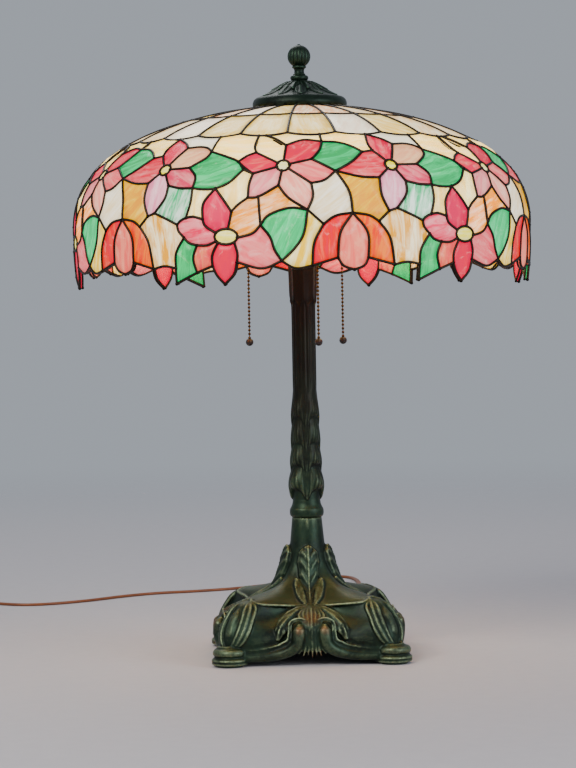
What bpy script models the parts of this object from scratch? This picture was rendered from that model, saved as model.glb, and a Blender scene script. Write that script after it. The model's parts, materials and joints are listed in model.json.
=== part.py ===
"""Leaded glass table lamp with a cast base, three pull-chain sockets and a domed shade.

Metres, +Z up. The origin is on the table under the middle of the column, and -Y is the front.
"""

from math import acos, atan2, cos, hypot, pi, radians, sin, tau

import bmesh
import bpy
from mathutils import Matrix, Vector
from mathutils.geometry import interpolate_bezier

MM = 0.001
GAP = 0.3 * MM
FRONT = -pi / 2

# Shade: a dome above the shoulder and a skirt below it
SHADE_RADIUS = 229.3 * MM
SHOULDER_Z = 423.0 * MM
DOME_RISE = 131.0 * MM
DOME_POWER_R = 1.8
DOME_POWER_Z = 2.7
SKIRT_INWARD = 3.3 * MM
SKIRT_DEPTH = 49.0 * MM
RIM_MEAN_Z = 382.0 * MM
RIM_WAVE = 8.0 * MM
GLASS = 3.0 * MM
SHADE_OPENING_RADIUS = 46.3 * MM
CROWN_MIDDLE_RADIUS = 118.0 * MM
CROWN_LOWER_RADIUS = 165.0 * MM
PANELS = 6
PANEL_STEPS = 8

# Stem
ROD_RADIUS = 4.8 * MM
ROD_BORE = 5.1 * MM
STUD_RADIUS = 2.9 * MM
STUD_BORE = 3.3 * MM
ROD_BOTTOM = 20.0 * MM
LIGHT_Z = 452.0 * MM
SHADE_SEAT_Z = 548.0 * MM

# Lights: the first one stands a little to the right of the front
LIGHTS = 3
FIRST_LIGHT = FRONT + radians(13)
CHAIN_RADIUS = 57.0 * MM
CHAIN_TOP = 414.6 * MM
CHAIN_BOTTOM = 321.0 * MM
PULL_BALL_RADIUS = 4.0 * MM

# Base
FOOT_CENTRE = 80.5 * MM
FOOT_RADIUS = 18.5 * MM
FELT = 1.5 * MM
SECTION_POINTS = 32
CORNER_SHARPNESS = 5

# Mains cord, 1.8 m long with what is wound into the coil
CORD_RADIUS = 2.7 * MM
CORD_POINTS = 80
BUSHING_X = 34.0 * MM
BUSHING_Z = 22.0 * MM
BUSHING_FACE_Y = 87.0 * MM
BUSHING_LENGTH = 26.0 * MM
CORD_Z = CORD_RADIUS + GAP
COIL_CENTRE = Vector((-0.4147, 0.562, 0))
COIL_INNER = 24.0 * MM
COIL_OUTER = 38.0 * MM
COIL_HEIGHT = 11.2 * MM
ROUTE = [
    (BUSHING_X, BUSHING_FACE_Y + BUSHING_LENGTH + GAP, BUSHING_Z),
    (BUSHING_X, 0.124, 0.0214),
    (0.0345, 0.144, 0.0140),
    (0.036, 0.172, 0.0048),
    (0.040, 0.215, CORD_Z),
    (0.047, 0.300, CORD_Z),
    (0.058, 0.400, CORD_Z),
    (0.071, 0.500, CORD_Z),
    (0.082, 0.590, CORD_Z),
    (0.087, 0.665, CORD_Z),
    (0.079, 0.722, CORD_Z),
    (0.055, 0.738, CORD_Z),
    (0.020, 0.710, CORD_Z),
    (-0.020, 0.660, CORD_Z),
    (-0.063, 0.622, CORD_Z),
    (-0.115, 0.597, CORD_Z),
    (-0.165, 0.582, CORD_Z),
    (-0.205, 0.556, CORD_Z),
    (-0.245, 0.518, CORD_Z),
    (-0.283, 0.492, CORD_Z),
    (-0.318, 0.483, CORD_Z),
    (-0.348, 0.497, CORD_Z),
    (-0.367, 0.520, CORD_Z),
    (-0.3779, 0.5445, CORD_Z),
]


def clear_scene():
    for item in list(bpy.data.objects):
        bpy.data.objects.remove(item, do_unlink=True)


def material(name, colour, roughness=0.5, metallic=0.0):
    made = bpy.data.materials.new(name)
    made.use_nodes = True
    shader = made.node_tree.nodes["Principled BSDF"]
    shader.inputs["Base Color"].default_value = (*colour, 1)
    shader.inputs["Roughness"].default_value = roughness
    shader.inputs["Metallic"].default_value = metallic
    made.diffuse_color = (*colour, 1)
    return made


def add_object(name, data, finish, place=None):
    item = bpy.data.objects.new(name, data)
    bpy.context.collection.objects.link(item)
    item.data.materials.append(finish)
    item.matrix_world = place or Matrix.Identity(4)
    return item


def add_mesh(name, bm, finish, place=None, sharp=35):
    bmesh.ops.recalc_face_normals(bm, faces=bm.faces)
    mesh = bpy.data.meshes.new(name)
    bm.to_mesh(mesh)
    bm.free()
    mesh.shade_smooth()
    mesh.set_sharp_from_angle(angle=radians(sharp))
    return add_object(name, mesh, finish, place)


def turned(name, outline, finish, place=None, segments=24):
    """A body of revolution about local Z. An outline that ends on the axis twice is solid,
    any other one is closed into a ring. Outline points are (radius, height)."""
    bm = bmesh.new()
    verts = [bm.verts.new((r, 0, z)) for r, z in outline]
    pairs = list(zip(verts, verts[1:]))
    if outline[0][0] > 0 or outline[-1][0] > 0:
        pairs.append((verts[-1], verts[0]))
    edges = [bm.edges.new(pair) for pair in pairs]
    bmesh.ops.spin(
        bm, geom=verts + edges, cent=(0, 0, 0), axis=(0, 0, 1),
        angle=tau, steps=segments, use_merge=True, use_duplicate=False,
    )
    bmesh.ops.remove_doubles(bm, verts=bm.verts, dist=1e-6)
    return add_mesh(name, bm, finish, place)


def lofted(bm, rings, close_ends):
    """Skins rings of points. With close_ends the two end rings get a flat cap,
    otherwise the last ring joins the first."""
    rows = [[bm.verts.new(p) for p in ring] for ring in rings]
    following = rows[1:] if close_ends else rows[1:] + rows[:1]
    for row, after in zip(rows, following):
        for i in range(len(row)):
            j = (i + 1) % len(row)
            bm.faces.new((row[i], row[j], after[j], after[i]))
    if close_ends:
        bm.faces.new(rows[0][::-1])
        bm.faces.new(rows[-1])


def boolean(item, other, operation):
    """Applies a Boolean at once, so that the other object can go."""
    step = item.modifiers.new(operation.lower(), "BOOLEAN")
    step.operation = operation
    step.solver = "EXACT"
    step.object = other
    bpy.context.view_layer.update()
    seen = item.evaluated_get(bpy.context.evaluated_depsgraph_get())
    mesh = bpy.data.meshes.new_from_object(seen)
    item.modifiers.remove(step)
    item.data = mesh
    bpy.data.objects.remove(other, do_unlink=True)


def outward(angle, radius=0.0, z=0.0):
    """A place whose local +Z points away from the column at this angle."""
    away = Vector((cos(angle), sin(angle), 0))
    turn = away.to_track_quat("Z", "Y").to_matrix().to_4x4()
    return Matrix.Translation(away * radius + Vector((0, 0, z))) @ turn


def at(x, y, z):
    return Matrix.Translation((x, y, z))


def in_mm(outline):
    """An outline written in millimetres, in metres."""
    return [(r * MM, z * MM) for r, z in outline]


# ---------------------------------------------------------------- shade shape


def dome_point(turn):
    """Outer profile point of the dome: turn is 0 at the shoulder and pi/2 at the top."""
    return (
        SHADE_RADIUS * cos(turn) ** (2 / DOME_POWER_R),
        SHOULDER_Z + DOME_RISE * sin(turn) ** (2 / DOME_POWER_Z),
    )


def dome_turn(radius):
    return acos((radius / SHADE_RADIUS) ** (DOME_POWER_R / 2))


def skirt_point(z):
    return SHADE_RADIUS - SKIRT_INWARD * ((SHOULDER_Z - z) / SKIRT_DEPTH) ** 2, z


def inner_point(r, z):
    """The point one glass thickness inside an outer profile point."""
    if z >= SHOULDER_Z:
        across = DOME_POWER_R / SHADE_RADIUS * (r / SHADE_RADIUS) ** (DOME_POWER_R - 1)
        up = DOME_POWER_Z / DOME_RISE * ((z - SHOULDER_Z) / DOME_RISE) ** (DOME_POWER_Z - 1)
    else:
        across = 1.0
        up = -2 * SKIRT_INWARD * (SHOULDER_Z - z) / SKIRT_DEPTH**2
    size = hypot(across, up)
    return r - GLASS * across / size, z - GLASS * up / size


def dome_profile(inner_radius, outer_radius, steps):
    start, end = dome_turn(inner_radius), dome_turn(outer_radius)
    return [dome_point(start + (end - start) * k / steps) for k in range(steps + 1)]


def crown_ring(name, inner_radius, outer_radius, finish):
    outer = dome_profile(inner_radius, outer_radius, 2)
    turned(name, outer + [inner_point(*p) for p in reversed(outer)], finish, segments=48)


def rim_z(angle):
    """Height of the scalloped lower edge: two petals hang down in each panel."""
    return RIM_MEAN_Z - RIM_WAVE * cos(2 * PANELS * (angle - FRONT - radians(10)))


def floral_panel(name, index, finish):
    """One sixth of the patterned zone, from the crown to the scalloped rim."""
    trim = GAP / 2 / CROWN_LOWER_RADIUS
    start = tau / PANELS * index + trim
    sweep = tau / PANELS - 2 * trim
    dome = dome_profile(CROWN_LOWER_RADIUS + GAP, SHADE_RADIUS, 5)
    bm = bmesh.new()
    columns = []
    for i in range(PANEL_STEPS + 1):
        angle = start + sweep * i / PANEL_STEPS
        drop = SHOULDER_Z - rim_z(angle)
        outer = dome + [skirt_point(SHOULDER_Z - drop * k / 2) for k in (1, 2)]
        loop = outer + [inner_point(*p) for p in reversed(outer)]
        columns.append([bm.verts.new((r * cos(angle), r * sin(angle), z)) for r, z in loop])
    count = len(columns[0])
    for left, right in zip(columns, columns[1:]):
        for j in range(count):
            k = (j + 1) % count
            bm.faces.new((left[j], right[j], right[k], left[k]))
    for column in (columns[0], columns[-1]):
        for j in range(count // 2 - 1):
            bm.faces.new((column[j], column[j + 1], column[count - 2 - j], column[count - 1 - j]))
    add_mesh(name, bm, finish)


# ---------------------------------------------------------------------- parts


def section(z, side, corner):
    """A four-cornered ring: side and corner are its reach at the middles and at the corners."""
    ring = []
    for i in range(SECTION_POINTS):
        angle = tau * i / SECTION_POINTS
        reach = (side + (corner - side) * abs(sin(2 * angle)) ** CORNER_SHARPNESS) * MM
        ring.append((reach * cos(angle), reach * sin(angle), z * MM))
    return ring


def make_base(bronze, iron, felt, steel):
    outside = [
        (14.3, 84, 118), (26, 86, 122), (38, 82, 120), (50, 69, 107), (61, 52, 89), (67, 43, 74),
        (73, 37, 46), (84, 31, 33), (97, 27, 27), (110, 18.5, 18.5), (139, 15, 15),
    ]
    inside = [
        (139, 5.1, 5.1), (68, 5.1, 5.1), (62, 28, 32), (46, 64, 96), (34, 76, 112), (14.3, 77, 108),
    ]
    bm = bmesh.new()
    lofted(bm, [section(*row) for row in outside + inside], close_ends=False)
    casting = add_mesh("base_casting", bm, bronze)
    for i in range(4):
        angle = pi / 4 + i * pi / 2
        x, y = (FOOT_CENTRE * 2**0.5 * cos(angle), FOOT_CENTRE * 2**0.5 * sin(angle))
        low = FELT + GAP
        foot = [
            (0, low), (FOOT_RADIUS * 0.84, low), (FOOT_RADIUS * 0.84, 5.5 * MM), (FOOT_RADIUS, 9 * MM),
            (FOOT_RADIUS, 19 * MM), (0, 26 * MM),
        ]
        boolean(casting, turned("foot_form", foot, bronze, at(x, y, 0), 16), "UNION")
        pad = [(0, 0), (FOOT_RADIUS * 0.75, 0), (FOOT_RADIUS * 0.75, FELT), (0, FELT)]
        turned(f"foot_felt_{i + 1}", pad, felt, at(x, y, 0), 12)
    hole = [(0, -20 * MM), (6 * MM, -20 * MM), (6 * MM, 20 * MM), (0, 20 * MM)]
    cutter = turned("cord_hole", hole, bronze, bushing_place(), 16)
    boolean(casting, cutter, "DIFFERENCE")

    weight = [
        (56 * MM, 18 * MM), (56 * MM, 42 * MM), (50 * MM, 46 * MM), (ROD_BORE, 46 * MM),
        (ROD_BORE, 30 * MM), (15 * MM, 30 * MM), (15 * MM, 18 * MM),
    ]
    turned("base_weight", weight, iron)
    washer = [(ROD_BORE, 26.8 * MM), (14 * MM, 26.8 * MM), (14 * MM, 29.7 * MM), (ROD_BORE, 29.7 * MM)]
    turned("base_washer", washer, steel)
    make_locknut(steel)
    cover = [(0, 14.6 * MM), (74 * MM, 14.6 * MM), (74 * MM, 16.6 * MM), (0, 16.6 * MM)]
    turned("bottom_cover", cover, felt)


def make_locknut(steel):
    """A hexagon outside and a round bore, as four rings skinned into one loop."""
    low, high, flat = 20.5 * MM, 26.5 * MM, 8.2 * MM
    hexagon, bore = [], []
    for k in range(24):
        angle = tau * k / 24
        reach = flat / cos((angle + pi / 6) % (pi / 3) - pi / 6)
        hexagon.append((reach * cos(angle), reach * sin(angle)))
        bore.append((ROD_BORE * cos(angle), ROD_BORE * sin(angle)))
    loops = ((hexagon, low), (hexagon, high), (bore, high), (bore, low))
    rings = [[(x, y, z) for x, y in ring] for ring, z in loops]
    bm = bmesh.new()
    lofted(bm, rings, close_ends=False)
    add_mesh("base_locknut", bm, steel)


def make_stem(bronze, steel, brass):
    rod = [(ROD_RADIUS, ROD_BOTTOM), (ROD_RADIUS, 449 * MM), (3.4 * MM, 449 * MM), (3.4 * MM, ROD_BOTTOM)]
    turned("tie_rod", rod, steel, segments=12)
    bore = ROD_BORE / MM
    column = [
        (16.4, 139.3), (17.2, 145), (16.4, 152), (14.2, 158), (14.2, 168), (17.6, 179), (14.2, 192),
        (15.8, 203), (13.6, 216), (14.4, 227), (12.8, 240), (13.6, 251), (12, 264), (12, 350),
        (12.9, 358), (13.6, 384), (15.2, 409.7), (bore, 409.7), (bore, 139.3),
    ]
    turned("column_casting", in_mm(column), bronze, segments=16)
    ring = [(bore, 410), (17, 410), (20, 413), (20, 418), (16, 421.7), (bore, 421.7)]
    turned("column_cap_ring", in_mm(ring), brass, segments=16)
    cluster = [
        (bore, 422), (14, 422), (17, 430), (24, 438), (24, 466), (17, 474), (12, 482), (bore, 482),
    ]
    turned("socket_cluster_body", in_mm(cluster), brass, segments=16)
    riser = [
        (0, LIGHT_Z), (ROD_RADIUS, LIGHT_Z), (ROD_RADIUS, SHADE_SEAT_Z + 1.5 * MM),
        (STUD_RADIUS, SHADE_SEAT_Z + 1.5 * MM), (STUD_RADIUS, 590 * MM), (0, 590 * MM),
    ]
    turned("riser_rod", riser, steel, segments=12)


def make_light(index, brass, phenolic, bulb_glass):
    angle = FIRST_LIGHT + index * tau / LIGHTS
    place = outward(angle, 0, LIGHT_Z)
    tag = index + 1
    nipple = [(3.2, 24.3), (4.8, 24.3), (4.8, 37), (3.2, 37)]
    turned(f"socket_nipple_{tag}", in_mm(nipple), brass, place, 12)
    cap = [
        (5.1, 31), (7.5, 31), (8.5, 35), (14.5, 40), (17, 44), (17, 52),
        (15.8, 52), (15.8, 45), (13.6, 41.6), (5.1, 39),
    ]
    turned(f"socket_cap_{tag}", in_mm(cap), brass, place, 16)
    shell = [(15.6, 52.3), (17, 52.3), (17, 92), (17.6, 94), (17, 96), (15.6, 96)]
    turned(f"socket_shell_{tag}", in_mm(shell), brass, place, 16)
    screw = [(0, 56), (4, 56), (12.4, 61), (13.2, 63), (13.2, 86.7), (0, 86.7)]
    turned(f"bulb_screw_base_{tag}", in_mm(screw), brass, place, 12)
    bulb = [
        (0, 87), (13, 87), (13.6, 93), (17, 106), (25, 122), (29.4, 135), (29.7, 146),
        (26, 160), (16, 172), (0, 177),
    ]
    turned(f"bulb_glass_{tag}", in_mm(bulb), bulb_glass, place, 12)

    x, y = CHAIN_RADIUS * cos(angle), CHAIN_RADIUS * sin(angle)
    bell_top = LIGHT_Z - 17.3 * MM
    bell = [
        (2.2 * MM, bell_top), (4.0 * MM, bell_top), (5.2 * MM, bell_top - 9.5 * MM),
        (3.6 * MM, bell_top - 9.5 * MM),
    ]
    turned(f"chain_bell_{tag}", bell, brass, at(x, y, 0), 12)
    low, high = CHAIN_TOP + GAP, LIGHT_Z - 18 * MM
    link = [(0, low), (1.4 * MM, low), (1.4 * MM, high), (0, high)]
    turned(f"pull_link_{tag}", link, brass, at(x, y, 0), 8)
    pivot = at(x, y, CHAIN_TOP)
    reach = CHAIN_BOTTOM - CHAIN_TOP
    rounded_top = [(1.5 * MM, -0.9 * MM), (0.8 * MM, -0.3 * MM), (0, 0)]
    turned(f"pull_chain_{tag}", [(0, reach), (1.5 * MM, reach)] + rounded_top, brass, pivot, 8)
    drop = reach - GAP
    steps = 6
    ball = [
        (PULL_BALL_RADIUS * sin(pi * k / steps), drop - PULL_BALL_RADIUS * (1 - cos(pi * k / steps)))
        for k in range(steps + 1)
    ]
    ball[0], ball[-1] = (0, ball[0][1]), (0, ball[-1][1])
    turned(f"pull_ball_{tag}", ball, phenolic, pivot, 12)


def make_shade_support(brass):
    """A wheel on the riser: hub, rim and three spokes in one piece."""
    top = SHADE_SEAT_Z
    hub = [(ROD_BORE, top - 8 * MM), (10 * MM, top - 8 * MM), (10 * MM, top), (ROD_BORE, top)]
    wheel = turned("shade_wheel", hub, brass, segments=16)
    rim = [(36 * MM, top - 3 * MM), (43 * MM, top - 3 * MM), (43 * MM, top), (36 * MM, top)]
    boolean(wheel, turned("rim_form", rim, brass, segments=24), "UNION")
    for i in range(3):
        bm = bmesh.new()
        bmesh.ops.create_cube(bm, size=1)
        length = 30 * MM
        bmesh.ops.scale(bm, verts=bm.verts, vec=(length, 6 * MM, 2.4 * MM))
        bmesh.ops.translate(bm, verts=bm.verts, vec=(8 * MM + length / 2, 0, top - 1.5 * MM))
        spoke = add_mesh("spoke_form", bm, brass, Matrix.Rotation(radians(30) + i * tau / 3, 4, "Z"))
        boolean(wheel, spoke, "UNION")


def make_shade(brass, bronze, cream, blossom):
    ring = [(38, 548.3), (45.2, 548.3), (45.2, 551), (38, 551)]
    turned("shade_top_ring", in_mm(ring), brass, segments=24)
    crown_ring("crown_glass_upper", SHADE_OPENING_RADIUS, CROWN_MIDDLE_RADIUS, cream)
    crown_ring("crown_glass_lower", CROWN_MIDDLE_RADIUS + GAP, CROWN_LOWER_RADIUS, cream)
    for i in range(PANELS):
        floral_panel(f"floral_panel_{i + 1}", i, blossom)
    cap = [
        (STUD_BORE / MM, 578.9), (9, 578.9), (14, 577), (21, 573), (29, 567.5), (37, 564), (42, 562.5),
        (46, 559.5), (47.5, 556), (46.8, 552.8), (44, 551.6), (41, 559), (30, 563.5), (20, 569.5),
        (STUD_BORE / MM, 576),
    ]
    turned("heat_cap", in_mm(cap), bronze, segments=24)


def make_finial(bronze):
    outline = [
        (0, 616), (1.6, 615.7), (2.4, 614.4), (6.6, 612.8), (9.8, 609.4), (11.4, 604), (10.6, 598.8),
        (8.2, 595.4), (6.8, 593.4), (6.8, 591.6), (5.4, 590), (5.2, 587), (5.8, 585.4), (8.9, 583.6),
        (9, 581), (8.2, 579.3), (3.3, 579.3), (3.3, 592), (0, 592),
    ]
    turned("finial", in_mm(outline), bronze, segments=16)


# ----------------------------------------------------------------------- cord


def bushing_place():
    """Local +Z points out of the back of the base."""
    return at(BUSHING_X, BUSHING_FACE_Y, BUSHING_Z) @ Matrix.Rotation(-pi / 2, 4, "X")


def smooth_route(route, count):
    """Evenly spaced points on one smooth curve through the route's points."""
    points = [Vector(p) for p in route]
    slopes = [(points[1] - points[0]) / 3]
    slopes += [(after - before) / 6 for before, after in zip(points, points[2:])]
    slopes.append((points[-1] - points[-2]) / 3)
    fine = []
    for i in range(len(points) - 1):
        a, b = points[i], points[i + 1]
        fine += interpolate_bezier(a, a + slopes[i], b - slopes[i + 1], b, 12)[:-1]
    fine.append(points[-1])
    steps = [(b - a).length for a, b in zip(fine, fine[1:])]
    spacing = sum(steps) / (count - 1)
    spaced, gone, wanted = [fine[0]], 0.0, spacing
    for a, b, step in zip(fine, fine[1:], steps):
        while gone + step >= wanted and len(spaced) < count - 1:
            spaced.append(a.lerp(b, (wanted - gone) / step))
            wanted += spacing
        gone += step
    return spaced + [fine[-1]]


def make_cord(brown, phenolic):
    bushing = [
        (0, -9 * MM), (5.6 * MM, -9 * MM), (5.6 * MM, GAP), (8 * MM, 3 * MM), (7 * MM, 5 * MM),
        (4.8 * MM, 7 * MM), (3.4 * MM, BUSHING_LENGTH), (0, BUSHING_LENGTH),
    ]
    turned("cord_bushing", bushing, phenolic, bushing_place(), 16)

    curve = bpy.data.curves.new("lamp_cord", "CURVE")
    curve.dimensions = "3D"
    curve.bevel_depth = CORD_RADIUS
    curve.bevel_resolution = 2
    curve.use_fill_caps = True
    spline = curve.splines.new("POLY")
    points = smooth_route(ROUTE, CORD_POINTS)
    spline.points.add(len(points) - 1)
    for slot, point in zip(spline.points, points):
        slot.co = (*point, 1)
    add_object("lamp_cord", curve, brown)

    ring = [
        (COIL_INNER, 2 * MM), (COIL_INNER + 2 * MM, GAP), (COIL_OUTER - 2 * MM, GAP), (COIL_OUTER, 2 * MM),
        (COIL_OUTER, COIL_HEIGHT - 2 * MM), (COIL_OUTER - 2 * MM, COIL_HEIGHT),
        (COIL_INNER + 2 * MM, COIL_HEIGHT), (COIL_INNER, COIL_HEIGHT - 2 * MM),
    ]
    turned("cord_coil", ring, brown, Matrix.Translation(COIL_CENTRE))
    make_plug(phenolic)


def make_plug(phenolic):
    """A two-pin plug lying beside the coil, with its tail against the turns."""
    leave = radians(205)
    tail = COIL_CENTRE + Vector((cos(leave), sin(leave), 0)) * (COIL_OUTER + 2.6 * MM)
    along = Vector((-0.259, -0.966, 0)).normalized()
    heading = atan2(along.y, along.x)
    place = at(tail.x, tail.y, 8.4 * MM) @ Matrix.Rotation(heading, 4, "Z")
    # distance along the plug, half width and half height
    widths = [(0, 3.2, 3.2), (14, 4.4, 4.4), (17, 8, 6.5), (24, 12, 8), (36, 12.5, 8), (38, 11.5, 7)]
    rings = []
    for x, wide, high in widths:
        ring = []
        for k in range(16):
            angle = tau * k / 16
            ring.append((x * MM, wide * MM * cos(angle), high * MM * sin(angle)))
        rings.append(ring)
    bm = bmesh.new()
    lofted(bm, rings, close_ends=True)
    plug = add_mesh("mains_plug", bm, phenolic, place)
    for side in (-1, 1):
        bm = bmesh.new()
        bmesh.ops.create_cube(bm, size=1)
        bmesh.ops.scale(bm, verts=bm.verts, vec=(20 * MM, 1.5 * MM, 6.4 * MM))
        bmesh.ops.translate(bm, verts=bm.verts, vec=(46 * MM, side * 6.35 * MM, 0))
        boolean(plug, add_mesh("blade_form", bm, phenolic, place), "UNION")


def main():
    clear_scene()
    bronze = material("verdigris_bronze", (0.05, 0.09, 0.06), 0.45, 0.6)
    iron = material("cast_iron", (0.06, 0.06, 0.06), 0.8, 0.3)
    felt = material("green_felt", (0.04, 0.10, 0.06), 0.95)
    steel = material("zinc_steel", (0.5, 0.5, 0.5), 0.35, 1.0)
    brass = material("aged_brass", (0.42, 0.30, 0.12), 0.35, 1.0)
    phenolic = material("brown_phenolic", (0.05, 0.025, 0.015), 0.35)
    bulb_glass = material("frosted_bulb_glass", (0.95, 0.92, 0.85), 0.4)
    cream = material("cream_opalescent_glass", (0.85, 0.75, 0.52), 0.25)
    blossom = material("blossom_opalescent_glass", (0.80, 0.35, 0.30), 0.25)
    brown = material("brown_cord_cover", (0.13, 0.05, 0.02), 0.7)
    make_base(bronze, iron, felt, steel)
    make_stem(bronze, steel, brass)
    for index in range(LIGHTS):
        make_light(index, brass, phenolic, bulb_glass)
    make_shade_support(brass)
    make_shade(brass, bronze, cream, blossom)
    make_finial(bronze)
    make_cord(brown, phenolic)


main()
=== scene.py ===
# %% [markdown]
# # A leaded-glass table lamp
# The lamp is a cast bronze base and column, three pull-chain sockets, and a domed shade of about
# 280 pieces of opalescent glass held together by solder lines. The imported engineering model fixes
# every size; this lesson gives each part the surface that the real one has.

import json
import random
from math import cos, exp, hypot, log, pi, radians, sin, tau

import bmesh
import bpy
from mathutils import Matrix, Vector, noise
from mathutils.geometry import delaunay_2d_cdt, interpolate_bezier


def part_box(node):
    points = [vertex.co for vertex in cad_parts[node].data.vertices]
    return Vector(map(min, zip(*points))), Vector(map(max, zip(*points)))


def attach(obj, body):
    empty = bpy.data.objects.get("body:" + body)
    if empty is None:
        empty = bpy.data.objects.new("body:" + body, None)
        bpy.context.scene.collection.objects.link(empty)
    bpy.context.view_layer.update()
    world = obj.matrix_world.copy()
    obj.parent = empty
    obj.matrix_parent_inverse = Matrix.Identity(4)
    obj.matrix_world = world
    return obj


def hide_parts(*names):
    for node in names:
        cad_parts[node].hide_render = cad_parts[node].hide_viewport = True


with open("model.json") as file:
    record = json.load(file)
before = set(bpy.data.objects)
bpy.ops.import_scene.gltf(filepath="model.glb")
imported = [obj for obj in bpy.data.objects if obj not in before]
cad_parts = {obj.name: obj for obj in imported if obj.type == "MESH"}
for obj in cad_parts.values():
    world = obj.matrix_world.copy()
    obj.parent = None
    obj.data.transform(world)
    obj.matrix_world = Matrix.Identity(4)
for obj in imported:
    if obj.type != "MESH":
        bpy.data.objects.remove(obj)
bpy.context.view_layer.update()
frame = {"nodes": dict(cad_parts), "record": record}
MM = 0.001

# %% [markdown]
# ## Small tools
# A node tree is easier to read when one call adds a node with its settings and its links. A key is
# the socket's name, or its number where several sockets share a name, as on a Mix node. Colours are
# written the way paint charts give them, as sRGB hex, and one function turns them to linear light.


# %% Node and colour helpers
def node(tree, kind, inputs=(), **settings):
    """Adds one node. A socket given as an input is linked, any other value is set."""
    made = tree.nodes.new(kind)
    for key, value in settings.items():
        setattr(made, key, value)
    for key, value in dict(inputs).items():
        if isinstance(value, bpy.types.NodeSocket):
            tree.links.new(value, made.inputs[key])
        else:
            made.inputs[key].default_value = value
    return made


def colour(code):
    """sRGB hex to linear RGBA."""
    parts = [int(code[k : k + 2], 16) / 255 for k in (1, 3, 5)]
    return (*[c / 12.92 if c <= 0.04045 else ((c + 0.055) / 1.055) ** 2.4 for c in parts], 1.0)


def new_material(name):
    made = bpy.data.materials.new(name)
    made.use_nodes = True
    return made, made.node_tree, made.node_tree.nodes["Principled BSDF"]


def into_scene(name, data):
    """A new object at the origin that shows this mesh, light or camera."""
    item = bpy.data.objects.new(name, data)
    bpy.context.scene.collection.objects.link(item)
    return item


def add_mesh(name, points, faces, finish):
    """A finished piece, its place in its mesh."""
    mesh = bpy.data.meshes.new(name)
    mesh.from_pydata([tuple(p) for p in points], [], faces)
    mesh.materials.append(finish)
    mesh.update()
    mesh.shade_smooth()
    return into_scene(name, mesh)


def skinned(rings, joined=False, capped=False):
    """Points and faces of rings skinned one to the next, the last joined to the first or capped."""
    points, size, faces = [p for ring in rings for p in ring], len(rings[0]), []
    for row in range(len(rings) if joined else len(rings) - 1):
        here, after = row * size, (row + 1) % len(rings) * size
        for k in range(size):
            j = (k + 1) % size
            faces.append((here + k, here + j, after + j, after + k))
    if capped:
        faces += [tuple(range(size))[::-1], tuple(range(len(points) - size, len(points)))]
    return points, faces


def smoothstep(low, high, value):
    t = min(max((value - low) / (high - low), 0.0), 1.0)
    return t * t * (3 - 2 * t)


def smooth_line(points, steps):
    """A smooth curve through points, with this many steps between each pair."""
    points = [Vector(p) for p in points]
    slopes = [(points[1] - points[0]) / 3]
    slopes += [(after - before) / 6 for before, after in zip(points, points[2:])]
    slopes.append((points[-1] - points[-2]) / 3)
    line = []
    for i in range(len(points) - 1):
        a, b = points[i], points[i + 1]
        if len(a) == 2:
            a, b = a.to_3d(), b.to_3d()
        near, far = slopes[i].to_3d(), slopes[i + 1].to_3d()
        line += interpolate_bezier(a, a + near, b - far, b, steps + 1)[:-1]
    line.append(points[-1].to_3d())
    return line


# %% [markdown]
# ## Camera
# The camera stands 2.65 m from the lamp, a little to the left of its front and at the height of the
# lamp's middle. A long lens keeps the base and the shade in proportion. The lamp leans by a degree,
# which is easier to give to the camera than to every part.

# %% Camera
CAMERA_DISTANCE = 2.65
CAMERA_HEIGHT = 0.353
CAMERA_SIDE = radians(2.0)
LOOK_SIDE = radians(1.638)
LOOK_DOWN = radians(1.708)
LEAN = radians(1.0)
SENSOR_HEIGHT = 36.0
FOCAL_IN_HEIGHTS = 3.4164

lens = bpy.data.cameras.new("camera")
lens.sensor_fit = "VERTICAL"
lens.sensor_height = SENSOR_HEIGHT
lens.lens = SENSOR_HEIGHT * FOCAL_IN_HEIGHTS
camera = into_scene("camera", lens)
ahead = Vector((sin(LOOK_SIDE) * cos(LOOK_DOWN), cos(LOOK_SIDE) * cos(LOOK_DOWN), -sin(LOOK_DOWN)))
turn = ahead.to_track_quat("-Z", "Y").to_matrix().to_4x4() @ Matrix.Rotation(-LEAN, 4, "Z")
stand_at = (-sin(CAMERA_SIDE) * CAMERA_DISTANCE, -cos(CAMERA_SIDE) * CAMERA_DISTANCE, CAMERA_HEIGHT)
camera.matrix_world = Matrix.Translation(stand_at) @ turn
bpy.context.scene.camera = camera
print("camera lens:", round(lens.lens, 1), "mm")

# %% [markdown]
# ## Mains cord
# Lamp cord is two insulated cores side by side, soft enough to lie in loose curves but too stiff for
# a sharp bend. It leaves the back of the base, drops to the table in a few diameters, and the part
# that isn't seen is wound into a coil. One list of points is its route, a rule gives the coil's
# turns, and a figure-eight section is swept along both.

# %% Cord route and coil
CORD_WIDTH = 5.4 * MM
CORD_CORE = 1.6 * MM
CORD_WEB = 0.62
TABLE_LAY = 1.8 * MM
BUSHING_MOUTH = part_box("cord_bushing")[1].y
COIL_LOW, COIL_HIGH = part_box("cord_coil")
COIL_CENTRE = (COIL_LOW + COIL_HIGH) / 2
EXIT = (0.034, BUSHING_MOUTH + 0.0003, 0.022)
ROUTE = [EXIT, (0.034, 0.124, 0.0214), (0.0345, 0.144, 0.0136), (0.036, 0.172, 0.0040)]
ROUTE += [
    (x, y, TABLE_LAY)
    for x, y in [
        (0.040, 0.215), (0.047, 0.300), (0.058, 0.400), (0.071, 0.500), (0.082, 0.590),
        (0.087, 0.665), (0.079, 0.722), (0.055, 0.738), (0.020, 0.710), (-0.020, 0.660),
        (-0.063, 0.622), (-0.115, 0.597), (-0.165, 0.582), (-0.205, 0.556), (-0.245, 0.518),
        (-0.283, 0.492), (-0.318, 0.483), (-0.348, 0.497), (-0.367, 0.520), (-0.3779, 0.5445),
    ]
]
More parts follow.
